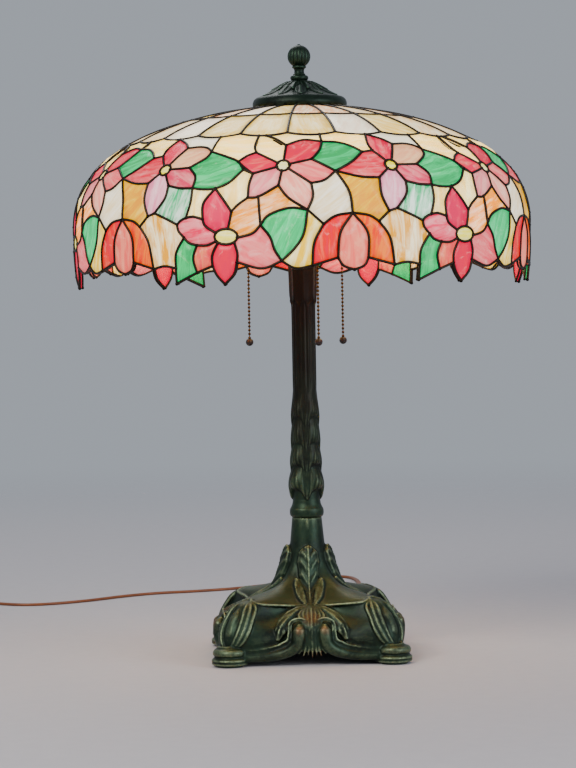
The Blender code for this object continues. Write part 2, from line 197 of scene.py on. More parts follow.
# turns so far in degrees, radius and height of the cord's middle in mm
SPIRAL_END = 540
COIL_KEYS = [
    (-25, 40.7, 1.8), (5, 36.6, 1.8), (40, 34.6, 1.8), (SPIRAL_END, 27.0, 1.8), (620, 31.4, 5.3),
    (850, 32.0, 5.3), (925, 40.6, 8.4),
]


def coil_point(degrees):
    """The cord's middle in the coil: an even spiral up to SPIRAL_END, eased steps elsewhere."""
    for (a, r0, z0), (b, r1, z1) in zip(COIL_KEYS, COIL_KEYS[1:]):
        if degrees <= b:
            t = (degrees - a) / (b - a)
            if b != SPIRAL_END:
                t = smoothstep(0, 1, t)
            radius, height = (r0 + (r1 - r0) * t) * MM, (z0 + (z1 - z0) * t) * MM
            x, y = radius * cos(radians(degrees)), radius * sin(radians(degrees))
            return Vector((COIL_CENTRE.x + x, COIL_CENTRE.y + y, height))


coil = [coil_point(degrees) for degrees in range(-5, 926, 15)]
cord_path = smooth_line([Vector(p) for p in ROUTE] + coil, 4)
cord_length = sum((b - a).length for a, b in zip(cord_path, cord_path[1:]))
print("cord:", round(cord_length, 3), "m on", len(cord_path), "points")

# %% Cord material: brown vinyl
# Extruded vinyl is smooth and slightly waxy. Light catches the two rounded cores as two lines, and
# dust and handling leave paler and darker lengths.
cord_vinyl, tree, shader = new_material("brown_vinyl_cord")
place = node(tree, "ShaderNodeTexCoord")
patches = node(
    tree, "ShaderNodeTexNoise", {"Vector": place.outputs["Object"], "Scale": 60.0, "Detail": 3.0}
)
tone = node(
    tree, "ShaderNodeMix",
    {0: patches.outputs["Fac"], 6: colour("#5a2d12"), 7: colour("#96552a")},
    data_type="RGBA",
)
tree.links.new(tone.outputs[2], shader.inputs["Base Color"])
shader.inputs["Roughness"].default_value = 0.42
shader.inputs["IOR"].default_value = 1.5


# %% Sweep the two cores
def swept(name, path, section, finish):
    """Carries a closed section of (across, up) points along a path that lies on the table."""
    rings = []
    for k, here in enumerate(path):
        before, after = path[max(k - 1, 0)], path[min(k + 1, len(path) - 1)]
        along = (Vector(after) - Vector(before)).normalized()
        across = along.cross(Vector((0, 0, 1))).normalized()
        up = across.cross(along).normalized()
        rings.append([Vector(here) + across * x + up * y for x, y in section])
    return add_mesh(name, *skinned(rings, capped=True), finish)


def two_cores():
    """The outline of two round cores pressed together, with a web between them."""
    shift = CORD_WIDTH / 2 - CORD_CORE
    outline = []
    for side in (1, -1):
        for step in range(7):
            angle = radians(-65 + 130 * step / 6)
            outline.append((side * (shift + CORD_CORE * cos(angle)), side * CORD_CORE * sin(angle)))
        outline.append((0.0, side * CORD_CORE * CORD_WEB))
    return outline


cord = swept("cord", cord_path, two_cores(), cord_vinyl)
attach(cord, "stand")
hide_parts("lamp_cord", "cord_coil")
print("cord mesh:", len(cord.data.polygons), "faces")

# %% [markdown]
# ## The shape of the shade
# A pattern for a leaded shade is drawn flat and wrapped on a form. Two numbers find any place on
# it: the angle round the lamp, with 0 at the front, and the distance down the outside from the
# ring where the crown ends. A table of the form's profile turns them into a point in space.

# %% Wrap a drawn point on the form
SHADE_RADIUS = 229.3 * MM
SHOULDER_Z = 423.0 * MM
DOME_RISE = 131.0 * MM
CROWN_EDGE_RADIUS = 165.0 * MM
GLASS = 3.0 * MM
# the dome is a squared ellipse: these powers say how square it is across and upwards
ROUND_ACROSS, ROUND_UP = 1.8, 2.7
# below the shoulder the skirt pulls in by this much over this drop
SKIRT_IN, SKIRT_DROP = 3.3 * MM, 49 * MM


def build_profile():
    """(drop, radius, height) down the outside of the form, the drop from the crown's edge."""
    outline, dome_steps = [], 400
    for k in range(dome_steps + 1):
        turned = pi / 2 * (1 - k / dome_steps)
        radius = SHADE_RADIUS * max(cos(turned), 0.0) ** (2 / ROUND_ACROSS)
        outline.append((radius, SHOULDER_Z + DOME_RISE * sin(turned) ** (2 / ROUND_UP)))
    for k in range(1, 61):
        down = k * MM
        outline.append((SHADE_RADIUS - SKIRT_IN * (down / SKIRT_DROP) ** 2, SHOULDER_Z - down))
    rows, gone = [(0.0, *outline[0])], 0.0
    for (r0, z0), (r1, z1) in zip(outline, outline[1:]):
        gone += hypot(r1 - r0, z1 - z0)
        rows.append((gone, r1, z1))
    edge = next(drop for drop, radius, _ in rows if radius >= CROWN_EDGE_RADIUS)
    return [(drop - edge, radius, height) for drop, radius, height in rows]


PROFILE = build_profile()


def form(angle, drop, inward=0.0):
    """The point on the form at this angle in degrees and drop in metres, or inward of it."""
    low, high = 0, len(PROFILE) - 1
    while high - low > 1:
        middle = (low + high) // 2
        low, high = (middle, high) if PROFILE[middle][0] <= drop else (low, middle)
    (d0, r0, z0), (d1, r1, z1) = PROFILE[low], PROFILE[high]
    t = (drop - d0) / (d1 - d0)
    run = hypot(r1 - r0, z1 - z0)
    radius = r0 + (r1 - r0) * t - inward * (z0 - z1) / run
    height = z0 + (z1 - z0) * t - inward * (r1 - r0) / run
    return Vector((radius * sin(radians(angle)), -radius * cos(radians(angle)), height))


def drop_at(radius):
    """The drop where the form first reaches this radius."""
    return next(drop for drop, r, _ in PROFILE if r >= radius)


CAP_DROP = drop_at(46.3 * MM)
RING_DROP = drop_at(118.0 * MM)
print("shade form: crown", round(-CAP_DROP * 1000), "mm, patterned zone 175 mm")

# %% [markdown]
# ## Drawing the pattern
# The design repeats six times. It is drawn as a maker draws a cartoon: named places where lead
# lines meet, then smooth strokes from place to place. Pieces aren't drawn at all. They are what
# the strokes enclose.

# %% Places where lines meet, as (degrees, millimetres down)
REPEATS = 6
REPEAT_TURN = 60
CROWN_STEP = 15
CROWN_FIRST = -21
CROWN_JOINT_DROP = 9.0
CROWN_SAG = 5.5


def crown_edge(angle):
    """The crown's lower line sags between its joints, as rounded tiles do."""
    part = ((angle - CROWN_FIRST) % CROWN_STEP) / CROWN_STEP
    return CROWN_JOINT_DROP + CROWN_SAG * (1 - (2 * part - 1) ** 2)


def on_crown(angle):
    return (angle, crown_edge(angle))


PLACES = {
    # upper flower with six petals
    "a_top_left": on_crown(-14.6), "a_top_right": on_crown(-12.4), "a_left": (-13.8, 43.4),
    "a_up": (-6.0, 33.0), "a_tip": (4.0, 28.0), "a_crown": on_crown(3.8), "a_right": (0.8, 54.0),
    "a_far": (6.5, 68.5), "a_low_right": (0.4, 81.0), "a_foot": (-0.6, 106.5),
    "a_low": (-7.4, 82.8), "a_corner": (-14.6, 93.8), "a_side": (-13.8, 69.8),
    "a_west": (-18.1, 55.1), "leaf_end": (-16.3, 65.1),
    # upper flower with five petals
    "b_left": (14.5, 44.5), "b_tip": on_crown(18.0), "b_low_left": (17.5, 42.7),
    "b_up": (24.6, 32.2), "b_east": (33.2, 39.7), "b_crown": on_crown(33.0),
    "b_right": (28.7, 60.3), "b_corner": (31.1, 83.0), "b_low_right": (24.0, 79.4),
    "b_low": (17.2, 75.8), "b_foot": (18.8, 108.2), "b_heel": (20.9, 105.6),
    # lower flower
    "c_top": (-22.8, 84.0), "c_right": (-18.5, 106.6), "c_brow": (-25.7, 112.9),
    "c_neck": (-30.1, 111.2), "c_west": (-32.5, 117.2), "c_south": (-30.7, 129.5),
    "c_waist": (-27.3, 137.0), "c_rim_left": (-23.5, 156.6), "c_drop": (-20.6, 174.0),
    "c_rim_right": (-17.4, 153.6), "p_top": (-12.1, 93.2),
    # leaves and tulip
    "d_left": (-11.6, 119.8), "d_foot": (-6.8, 153.2), "e_left": (-33.3, 157.8),
    "e_hang": (-33.4, 172.5), "e_right": (-27.6, 162.5), "t_left": (0.3, 158.0),
    "t_brow": (3.0, 119.7), "t_top": (9.9, 109.7), "t_cheek": (16.2, 117.7),
    "t_right": (20.1, 158.0), "t_low_left": (6.3, 151.0), "t_point": (10.2, 162.2),
    "t_low_right": (13.6, 151.1),
}
# the round middle of each flower: degrees, drop, half its width and half its height in mm
FLOWERS = {"a": (-6.4, 61.2, 6.2, 6.2), "b": (21.2, 61.5, 6.2, 6.2), "c": (-19.9, 129.7, 10.8, 7.2)}


def next_door(name):
    """The same place in the repeat to the right."""
    angle, drop = PLACES[name]
    return (angle + REPEAT_TURN, drop)


# %% Strokes: the lead lines
STROKES = [
    # six-petal flower, petal outlines
    ["a_left", (-14.7, 33), "a_top_left"], ["a_top_right", (-9.2, 21.5), "a_up"],
    ["a_up", (-1.2, 24.5), "a_tip"], ["a_tip", "a_crown"], ["a_tip", (3.0, 41.5), "a_right"],
    ["a_right", (3.6, 61), "a_far"], ["a_far", (3.6, 78), "a_low_right"],
    ["a_low_right", (0.7, 94), "a_foot"], ["a_foot", (-5.0, 95), "a_low"],
    ["a_low", "p_top", "a_corner"], ["a_corner", (-14.5, 81.5), "a_side"],
    ["a_side", (-16.2, 62.5), "a_west"], ["a_west", (-16.0, 47.5), "a_left"], ["leaf_end", "a_side"],
    # five-petal flower
    ["b_low_left", (17.0, 32), "b_tip"], ["b_tip", (22.2, 23.0), "b_up"],
    ["b_up", (28.5, 31), (31.4, 33.8), "b_east"], ["b_east", "b_crown"],
    ["b_east", (32.5, 48.5), "b_right"], ["b_right", (31.2, 71), "b_corner"],
    ["b_corner", (27.5, 82.4), "b_low_right"], ["b_low_right", (23.6, 92), "b_heel"],
    ["b_heel", "b_foot"], ["b_foot", (17.2, 93), "b_low"], ["b_low", (12.2, 74.6), "a_far"],
    ["a_far", (10.8, 58.2), "b_left"], ["b_left", "b_low_left"],
    # leaf between the flowers, leaf under the crown's next repeat
    ["a_tip", (8.3, 29.4), (11.8, 35.4), "b_left"],
    ["b_east", (38.8, 48.7), next_door("a_west"), next_door("leaf_end")],
    [next_door("leaf_end"), (40.6, 78.2), next_door("c_top"), (34.0, 84.6), "b_corner"],
    # mottled leaf
    ["b_corner", (31.0, 97), next_door("c_neck")], [next_door("c_west"), (24.9, 112.4), "b_heel"],
    # lower flower
    ["c_top", (-25.6, 98), "c_brow"], ["c_brow", (-25.0, 119.5), (-21.8, 127.5)],
    ["c_top", (-20.4, 96), "c_right"], ["c_right", (-17.1, 100.8), "a_corner"],
    ["c_brow", (-28.2, 110.2), "c_neck"], ["c_neck", (-31.6, 113.6), "c_west"],
    ["c_west", (-32.2, 123), "c_south"], ["c_south", (-29.4, 134.5), "c_waist"],
    ["c_waist", (-24.6, 137.2), (-21.8, 132.5)],
    ["c_waist", (-28.4, 149), "e_right"], ["e_right", "c_rim_left"],
    ["c_rim_left", (-22.5, 165.5), "c_drop"], ["c_drop", (-18.2, 164.5), "c_rim_right"],
    ["c_rim_left", (-23.4, 146), (-21.6, 132.8)], ["c_rim_right", (-17.2, 145), (-18.1, 132.8)],
    ["p_top", "d_left"], ["d_left", (-13.6, 127.4), (-18.0, 131.6)],
    ["c_right", (-18.9, 115), (-19.5, 125.0)],
    # pointed leaf
    ["d_left", (-9.6, 110.5), (-4.8, 104.4), "a_foot"],
    ["a_foot", (-1.6, 128.5), (-3.8, 142), "d_foot"],
    ["d_foot", (-8.4, 143), (-9.4, 131), "d_left"],
    # hanging leaf
    ["c_south", (-33.0, 143.5), "e_left", "e_hang"], ["e_hang", (-31.0, 168.3), "e_right"],
    # tulip
    ["t_left", (0.8, 137), "t_brow"], ["t_brow", (5.9, 112.2), "t_top"],
    ["t_top", (13.8, 112.2), "t_cheek"], ["t_cheek", (18.9, 133), "t_right"],
    ["t_top", (6.9, 128), "t_low_left"], ["t_top", (13.4, 128), "t_low_right"],
    ["t_left", "t_low_left"], ["t_low_left", (7.6, 158.5), "t_point"],
    ["t_point", (12.6, 158.5), "t_low_right"], ["t_low_right", "t_right"],
    # short joins across the background
    ["a_foot", "t_brow"], ["a_far", (9.3, 89.4), "t_top"], ["b_foot", "t_cheek"],
    # the rim
    ["t_right", (23.4, 155.6), next_door("e_left")], ["c_rim_right", (-11.5, 159.8), "d_foot"],
    ["d_foot", (-3.6, 160.2), "t_left"],
]

# on the board, a degree is this many mm wide and a stroke has a point each STROKE_STEP mm
DEGREE = 3.8
STROKE_STEP = 3.2


def on_board(angle, drop):
    """A place in degrees and mm, as a point on the drawing board in mm."""
    return Vector((angle * DEGREE, drop))


def flat(place):
    """A place by name or by numbers, on the board."""
    return on_board(*(PLACES[place] if isinstance(place, str) else place))


def drawn(stroke):
    """A stroke as evenly spaced points on the board."""
    fine = [p.to_2d() for p in smooth_line([flat(p) for p in stroke], 16)]
    length = sum((b - a).length for a, b in zip(fine, fine[1:]))
    count = max(round(length / STROKE_STEP), 1)
    points, gone, k = [fine[0]], 0.0, 1
    for a, b in zip(fine, fine[1:]):
        step = (b - a).length
        while k < count and gone + step >= length * k / count:
            points.append(a.lerp(b, (length * k / count - gone) / step))
            k += 1
        gone += step
    return points + [fine[-1]]


def ring_of(flower):
    """The round line about a flower's middle."""
    angle, drop, across, down = FLOWERS[flower]
    turns = [tau * k / 16 for k in range(17)]
    return [on_board(angle, drop) + Vector((across * cos(a), down * sin(a))) for a in turns]


def spokes(flower, ends, inside=0.97):
    """Short lines from a flower's middle to where its petals meet. They start a little inside the
    round line, whose corners would leave a gap otherwise."""
    angle, drop, across, down = FLOWERS[flower]
    centre = on_board(angle, drop)
    lines = []
    for end in ends:
        away = (flat(end) - centre).normalized()
        start = centre + Vector((away.x * across, away.y * down)) * inside
        lines.append([start, (start + flat(end)) / 2, flat(end)])
    return lines


board = [drawn(s) for s in STROKES] + [ring_of(f) for f in FLOWERS]
board += spokes("a", ["a_left", "a_up", "a_right", "a_low_right", "a_low", "a_side"])
board += spokes("b", ["b_low_left", "b_up", "b_right", "b_low_right", "b_low"])
board.append([flat(on_crown(CROWN_FIRST + k)) for k in range(REPEAT_TURN + 1)])
print("cartoon:", len(board), "strokes")

# %% [markdown]
# ## Cutting the glass
# A constrained Delaunay triangulation fills the board with triangles that never cross a stroke.
# Starting from a seed point, a flood through the triangles stops at the strokes, and what it
# reached is one piece of glass. Each seed also says which sheet the piece is cut from, and the way
# the streaks run in it, because a maker turns the sheet until its colour follows the petal.
#
# A stroke that ends just short of its neighbour lets the flood through, and then two seeds find
# the same area. That still happens at five places of this cartoon, three on the crown's edge, one
# at c_top and one at p_top, so there are fewer areas than seeds.

# %% Seeds: where each piece is, its sheet, its streak and the grain's direction in degrees
CREAM, IVORY, AMBER = ("#fbf1cf", "#f3d9a0"), ("#fdf6e2", "#f2dfba"), ("#f4cf86", "#e59a3f")
SEEDS = [
    # six-petal flower: salmon, coral and rose
    (-12.0, 32, "#e58a8a", "#d2606a", 100), (-1.5, 34, "#e58688", "#cc5664", 35),
    (1.8, 68, "#f0a69e", "#e78488", -20), (-3.5, 90, "#f8c9b8", "#f2a79c", -60),
    (-11.2, 83, "#eeb2ac", "#e58f96", 55), (-14.8, 57, "#ea8e8a", "#dc6474", 10),
    (-6.4, 61.2, "#f7f0a2", "#fbf7cf", 0),
    # five-petal flower
    (19.5, 30, "#e88a8c", "#cf5a6a", 80), (28.3, 42, "#f7cdaa", "#eeb59a", 30),
    (27.2, 71, "#e79a9c", "#d4707e", -30), (20.2, 90, "#efc4cc", "#e09aac", 85),
    (13.0, 64, "#e69090", "#d66a72", 5), (21.2, 61.5, "#f5e562", "#fbf2a8", 0),
    # leaves
    (7.0, 47, "#5cc886", "#229a52", 20), (-23.5, 62, "#74d094", "#2c9f5a", 15),
    (-33.5, 98, "#3bae70", "#dff0e0", 75), (-5.2, 125, "#35b069", "#7cd59c", 65),
    (-30.6, 150, "#219e56", "#5fc883", 80),
    # lower flower
    (-22.3, 106, "#e67f8a", "#d65a6e", 85), (-14.6, 112, "#f2bdbb", "#e07f92", 60),
    (-12.6, 143, "#efa09e", "#e88288", -30), (-20.4, 155, "#e4747c", "#d44a5e", 88),
    (-25.2, 148, "#e77c80", "#f0a08c", 85), (-28.0, 123, "#e06a7a", "#f0a0a4", 10),
    (-19.9, 129.7, "#f6ea86", "#fbf4b8", 0),
    # tulip
    (4.0, 140, "#ec8a80", "#dc6068", 95), (10.0, 136, "#f2a898", "#ea8a86", 90),
    (16.6, 140, "#e67670", "#f09a78", 80),
    # background, from the crown down
    (-20.5, 30, "#fbf5e6", "#f3e9d8", 20), (-2.0, 20, "#f9efd6", "#f6d9b4", 10),
    (10.0, 23, "#fbf3c9", "#f8e6a0", 5), (26.5, 21, "#fdf4d6", "#fbf3df", 0),
    (-18.0, 88, "#fbf6dd", "#e9efc6", 60), (-27.6, 98, *CREAM, 85), (13.5, 98, *AMBER, 40),
    (5.0, 95, *IVORY, 40), (-7.6, 98, "#f9ecc4", "#ecb25f", 25),
    (-1.2, 140, "#fbeebb", "#f2c766", 70),
    (23.0, 135, "#fbeecb", "#e2a866", 95),
]


# the board's field of filling points, in mm: first point, steps, counts and the gap to a stroke
FIELD_START, FIELD_STEP, FIELD_ROWS, FIELD_COLUMNS = (-166, 5), (8, 7.3), 24, 38
FIELD_CLEAR_SQUARED = 11
BOARD_NEAR = (-175, 130)


def board_triangles():
    """Corners and triangles of the board, and the sides that are strokes."""
    points, edges = [], []
    for shift in (-REPEAT_TURN, 0, REPEAT_TURN):
        for line in board:
            start = len(points)
            points += [p + Vector((shift * DEGREE, 0)) for p in line]
            edges += [(k, k + 1) for k in range(start, len(points) - 1)]
    near = [p for p in points if BOARD_NEAR[0] < p.x < BOARD_NEAR[1]]
    for row in range(FIELD_ROWS):
        for column in range(FIELD_COLUMNS):
            x = (column + row % 2 / 2) * FIELD_STEP[0] + FIELD_START[0]
            spot = Vector((x, FIELD_START[1] + row * FIELD_STEP[1]))
            if min((spot - p).length_squared for p in near) > FIELD_CLEAR_SQUARED:
                points.append(spot)
    verts, links, tris, _, sources, _ = delaunay_2d_cdt(points, edges, [], 0, 1e-4)
    return verts, tris, {tuple(sorted(link)) for link, source in zip(links, sources) if source}


def cut_glass():
    """The pieces of one repeat as (corners, triangles, look)."""
    verts, tris, walls = board_triangles()
    sides = [[tuple(sorted((tri[k], tri[k - 1]))) for k in range(3)] for tri in tris]
    middles = [sum((verts[v] for v in tri), Vector((0, 0))) / 3 for tri in tris]
    beside = {}
    for index, own in enumerate(sides):
        for side in own:
            beside.setdefault(side, []).append(index)
    pieces = []
    for angle, drop, *look in SEEDS:
        seed = on_board(angle, drop)
        first = min(range(len(tris)), key=lambda t: (middles[t] - seed).length)
        reached, waiting = {first}, [first]
        while waiting:
            for side in sides[waiting.pop()]:
                fresh = [] if side in walls else [t for t in beside[side] if t not in reached]
                reached.update(fresh)
                waiting += fresh
        pieces.append((verts, [tris[t] for t in sorted(reached)], look))
    return pieces


floral = cut_glass()
areas = {str(tris) for _, tris, _ in floral}
print("floral pieces:", len(floral), "in", len(areas), "separate areas")

# %% Crown tiles
# The crown is two rows of plain tiles whose joints run through both rows, four to each repeat. They
# are a small grid each, in the same board coordinates.
CROWN_SHEETS = [
    ("#fdf0cf", "#f6d2a4"), ("#fdecce", "#f2bb96"), ("#fdf6e0", "#f6e2cc"), ("#fbeab6", "#f3cf8a"),
]
RING_SAG = 2.5


def ring_line(part):
    """The drop of the line between the rows at this part of a tile's width, in mm."""
    return RING_DROP / MM + RING_SAG * (1 - (2 * part - 1) ** 2)


def crown_tile(column, row, steps=4):
    """A tile's grid of points and triangles on the board."""
    points, tris = [], []
    for i in range(steps + 1):
        for j in range(steps + 1):
            angle = CROWN_FIRST + (column + j / steps) * CROWN_STEP
            corner = j in (0, steps)
            edge = CROWN_JOINT_DROP if corner else crown_edge(angle)
            rows = (CAP_DROP / MM, ring_line(j / steps), edge)
            top, bottom = rows[row], rows[row + 1]
            points.append(on_board(angle, top + (bottom - top) * i / steps))
    for i in range(steps):
        for j in range(steps):
            a = i * (steps + 1) + j
            b, c, d = a + 1, a + steps + 1, a + steps + 2
            tris += [(a, c, b), (b, c, d)]
    return points, tris


chance = random.Random(11)
tiles = []
for column in range(360 // CROWN_STEP):
    for row in range(2):
        points, tris = crown_tile(column, row)
        sheet, streak = CROWN_SHEETS[chance.randrange(4)]
        tiles.append((points, tris, [sheet, streak, chance.uniform(40, 140)]))
print("crown tiles:", len(tiles))

# %% [markdown]
# ## From flat pieces to a shade
# Each piece is wrapped on the form, given its 3 mm thickness, and flattened a little in its middle,
# because real pieces are flat and only the lines between them bend round the form. A piece keeps
# its sheet's colours as attributes and its grain as a UV map, so one glass material serves them
# all.


# %% Raise the pieces
# how much of its bend a piece loses in its middle, and how wide its bent edge is
FLATTENED = 0.75
BENT_EDGE = 9 * MM


def raise_glass(name, pieces):
    """One mesh of closed pieces: outer face, inner face and edges."""
    bm = bmesh.new()
    sheet_layer = bm.verts.layers.float_color.new("sheet")
    streak_layer = bm.verts.layers.float_color.new("streak")
    grain = bm.loops.layers.uv.new("grain")
    for board_points, tris, (sheet, streak, direction), turn_by in pieces:
        used = sorted({v for tri in tris for v in tri})
        index = {v: k for k, v in enumerate(used)}
        place = [(board_points[v].x / DEGREE + turn_by, board_points[v].y * MM) for v in used]
        outer = [form(a, d) for a, d in place]
        inner = [form(a, d, GLASS) for a, d in place]
        sides = {}
        for tri in tris:
            for k in range(3):
                sides.setdefault(tuple(sorted((tri[k], tri[k - 1]))), []).append((tri[k - 1], tri[k]))
        rim = [found[0] for found in sides.values() if len(found) == 1]
        on_rim = {index[v] for pair in rim for v in pair}
        middle = sum((outer[k] for k in on_rim), Vector()) / len(on_rim)
        facing = sum(((o - i) for o, i in zip(outer, inner)), Vector()).normalized()
        for k in range(len(used)):
            if k not in on_rim:
                reach = min((outer[k] - outer[r]).length for r in on_rim)
                sink = (outer[k] - middle).dot(facing) * FLATTENED * smoothstep(0, BENT_EDGE, reach)
                outer[k], inner[k] = outer[k] - facing * sink, inner[k] - facing * sink
        shade_by = 1 + chance.uniform(-0.07, 0.05)
        tints = [tuple(c * shade_by for c in colour(code)[:3]) + (1.0,) for code in (sheet, streak)]
        away, bias = radians(direction), Vector((chance.uniform(0, 9), chance.uniform(0, 9)))
        flat_at = []
        for v in used:
            x, y = board_points[v].x * MM, -board_points[v].y * MM
            turned = (x * cos(away) + y * sin(away), y * cos(away) - x * sin(away))
            flat_at.append(Vector(turned) + bias)
        rows = []
        for points in (outer, inner):
            row = [bm.verts.new(p) for p in points]
            for v in row:
                v[sheet_layer], v[streak_layer] = tints
            rows.append(row)
        outer_row, inner_row = rows
        made = []
        for tri in tris:
            a, b, c = (index[v] for v in tri)
            normal = (outer[b] - outer[a]).cross(outer[c] - outer[a])
            if normal.dot(facing) < 0:
                b, c = c, b
            made.append((bm.faces.new((outer_row[a], outer_row[b], outer_row[c])), (a, b, c)))
            made.append((bm.faces.new((inner_row[a], inner_row[c], inner_row[b])), (a, c, b)))
        for a, b in rim:
            a, b = index[a], index[b]
            wall = bm.faces.new((outer_row[a], outer_row[b], inner_row[b], inner_row[a]))
            made.append((wall, (a, b, b, a)))
        for face, corners in made:
            face.smooth = len(corners) == 3
            for loop, corner in zip(face.loops, corners):
                loop[grain].uv = flat_at[corner]
    bmesh.ops.recalc_face_normals(bm, faces=bm.faces)
    mesh = bpy.data.meshes.new(name)
    bm.to_mesh(mesh)
    bm.free()
    return into_scene(name, mesh)


repeats = [(*piece, REPEAT_TURN * k) for k in range(REPEATS) for piece in floral]
floral_glass = raise_glass("floral_glass", repeats)
crown_glass = raise_glass("crown_glass", [(*tile, 0) for tile in tiles])
print("glass:", len(floral_glass.data.polygons) + len(crown_glass.data.polygons), "faces")

# %% Material: opalescent art glass
# The sheet is rolled while two or three colours of molten glass are still half mixed, so it has
# long streaks along the roll and soft white clouds, and light scatters in it instead of passing
# straight through. The lit lamps inside make the whole sheet glow in its own colour, which the
# emission stands for. The surface keeps the roller's shallow ripple, about 6 mm from wave to wave.
art_glass, tree, shader = new_material("opalescent_art_glass")
sheet = node(tree, "ShaderNodeAttribute", attribute_name="sheet")
streak = node(tree, "ShaderNodeAttribute", attribute_name="streak")
grain_map = node(tree, "ShaderNodeUVMap", uv_map="grain")
drawn_out = node(
    tree, "ShaderNodeMapping", {"Vector": grain_map.outputs["UV"], "Scale": (28.0, 170.0, 1.0)}
)
streaks = node(
    tree, "ShaderNodeTexNoise",
    {
        "Vector": drawn_out.outputs["Vector"], "Scale": 1.0, "Detail": 5.0, "Roughness": 0.62,
        "Distortion": 0.8,
    },
)
streak_part = node(
    tree, "ShaderNodeMapRange", {"Value": streaks.outputs["Fac"], "From Min": 0.38, "From Max": 0.60}
)
streaked = node(
    tree, "ShaderNodeMix",
    {0: streak_part.outputs["Result"], 6: sheet.outputs["Color"], 7: streak.outputs["Color"]},
    data_type="RGBA",
)
clouds = node(
    tree, "ShaderNodeTexNoise",
    {
        "Vector": grain_map.outputs["UV"], "Scale": 75.0, "Detail": 4.0, "Roughness": 0.6,
        "Distortion": 1.2,
    },
)
cloud_part = node(
    tree, "ShaderNodeMapRange",
    {"Value": clouds.outputs["Fac"], "From Min": 0.56, "From Max": 0.82, "To Max": 0.3},
)
clouded = node(
    tree, "ShaderNodeMix",
    {0: cloud_part.outputs["Result"], 6: streaked.outputs[2], 7: colour("#fff6ea")},
    data_type="RGBA",
)
# light that has passed through the whole sheet is richer than light off its surface
lit = node(
    tree, "ShaderNodeHueSaturation",
    {"Saturation": 1.28, "Value": 1.0, "Color": clouded.outputs[2]},
)
ripple = node(
    tree, "ShaderNodeTexNoise", {"Vector": grain_map.outputs["UV"], "Scale": 165.0, "Detail": 2.0}
)
relief = node(
    tree, "ShaderNodeBump", {"Height": ripple.outputs["Fac"], "Strength": 0.22, "Distance": 0.0006}
)
tree.links.new(lit.outputs["Color"], shader.inputs["Base Color"])
tree.links.new(lit.outputs["Color"], shader.inputs["Emission Color"])
tree.links.new(relief.outputs["Normal"], shader.inputs["Normal"])
shader.inputs["Emission Strength"].default_value = 0.86
shader.inputs["Roughness"].default_value = 0.34
shader.inputs["Specular IOR Level"].default_value = 0.35
shader.inputs["IOR"].default_value = 1.52
for item in (floral_glass, crown_glass):
    item.data.materials.append(art_glass)
    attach(item, "shade")
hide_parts(*[f"floral_panel_{k}" for k in range(1, 7)])
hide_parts("crown_glass_upper", "crown_glass_lower")
print("material:", art_glass.name)

# %% [markdown]
# ## Solder lines
# Every edge of glass is wrapped in copper foil and the joints are flooded with solder, which stands
# up as a round bead with small lumps, and swells where lines meet. Beads follow paths, so Geometry
# Nodes make them: the strokes become curves, noise varies their width, a round section is swept
# along them, and a low blob is set on each meeting place.


# %% Geometry Nodes: bead along the edges of a mesh
def bead_tree(name):
    tree = bpy.data.node_groups.new(name, "GeometryNodeTree")
    tree.interface.new_socket("Geometry", in_out="OUTPUT", socket_type="NodeSocketGeometry")
    tree.interface.new_socket("Lines", in_out="INPUT", socket_type="NodeSocketGeometry")
    for label, value in (("Width", 2.2 * MM), ("Lumps", 0.35), ("Joint Width", 3.2 * MM)):
        socket = tree.interface.new_socket(label, in_out="INPUT", socket_type="NodeSocketFloat")
        socket.default_value = value
    sides = tree.interface.new_socket("Sides", in_out="INPUT", socket_type="NodeSocketInt")
    sides.default_value = 6
    tree.interface.new_socket("Finish", in_out="INPUT", socket_type="NodeSocketMaterial")
    given = node(tree, "NodeGroupInput").outputs
    curves = node(tree, "GeometryNodeMeshToCurve", {"Mesh": given["Lines"]})
    lumps = node(tree, "ShaderNodeTexNoise", {"Scale": 130.0, "Detail": 2.0})
    centred = node(tree, "ShaderNodeMath", {0: lumps.outputs["Fac"], 1: 0.5}, operation="SUBTRACT")
    swell = node(
        tree, "ShaderNodeMath", {0: centred.outputs[0], 1: given["Lumps"], 2: 1.0},
        operation="MULTIPLY_ADD",
    )
    lumpy = node(
        tree, "GeometryNodeSetCurveRadius",
        {"Curve": curves.outputs["Curve"], "Radius": swell.outputs[0]},
    )
    half = node(tree, "ShaderNodeMath", {0: given["Width"], 1: 0.5}, operation="MULTIPLY")
    section = node(
        tree, "GeometryNodeCurvePrimitiveCircle",
        {"Resolution": given["Sides"], "Radius": half.outputs[0]},
    )
    bead = node(
        tree, "GeometryNodeCurveToMesh",
        {
            "Curve": lumpy.outputs["Curve"], "Profile Curve": section.outputs["Curve"],
            "Fill Caps": True,
        },
    )
    joint = node(tree, "GeometryNodeInputNamedAttribute", {"Name": "joint"}, data_type="BOOLEAN")
    spots = node(
        tree, "GeometryNodeMeshToPoints",
        {"Mesh": given["Lines"], "Selection": joint.outputs["Attribute"]},
    )
    joint_half = node(
        tree, "ShaderNodeMath", {0: given["Joint Width"], 1: 0.5}, operation="MULTIPLY"
    )
    blob = node(
        tree, "GeometryNodeMeshUVSphere",
        {"Segments": 8, "Rings": 4, "Radius": joint_half.outputs[0]},
    )
    blobs = node(
        tree, "GeometryNodeInstanceOnPoints",
        {"Points": spots.outputs["Points"], "Instance": blob.outputs["Mesh"]},
    )
    whole = node(tree, "GeometryNodeJoinGeometry")
    tree.links.new(blobs.outputs["Instances"], whole.inputs["Geometry"])
    tree.links.new(bead.outputs["Mesh"], whole.inputs["Geometry"])
    real = node(tree, "GeometryNodeRealizeInstances", {"Geometry": whole.outputs["Geometry"]})
    finish = node(
        tree, "GeometryNodeSetMaterial",
        {"Geometry": real.outputs["Geometry"], "Material": given["Finish"]},
    )
    node(tree, "NodeGroupOutput", {"Geometry": finish.outputs["Geometry"]})
    return tree


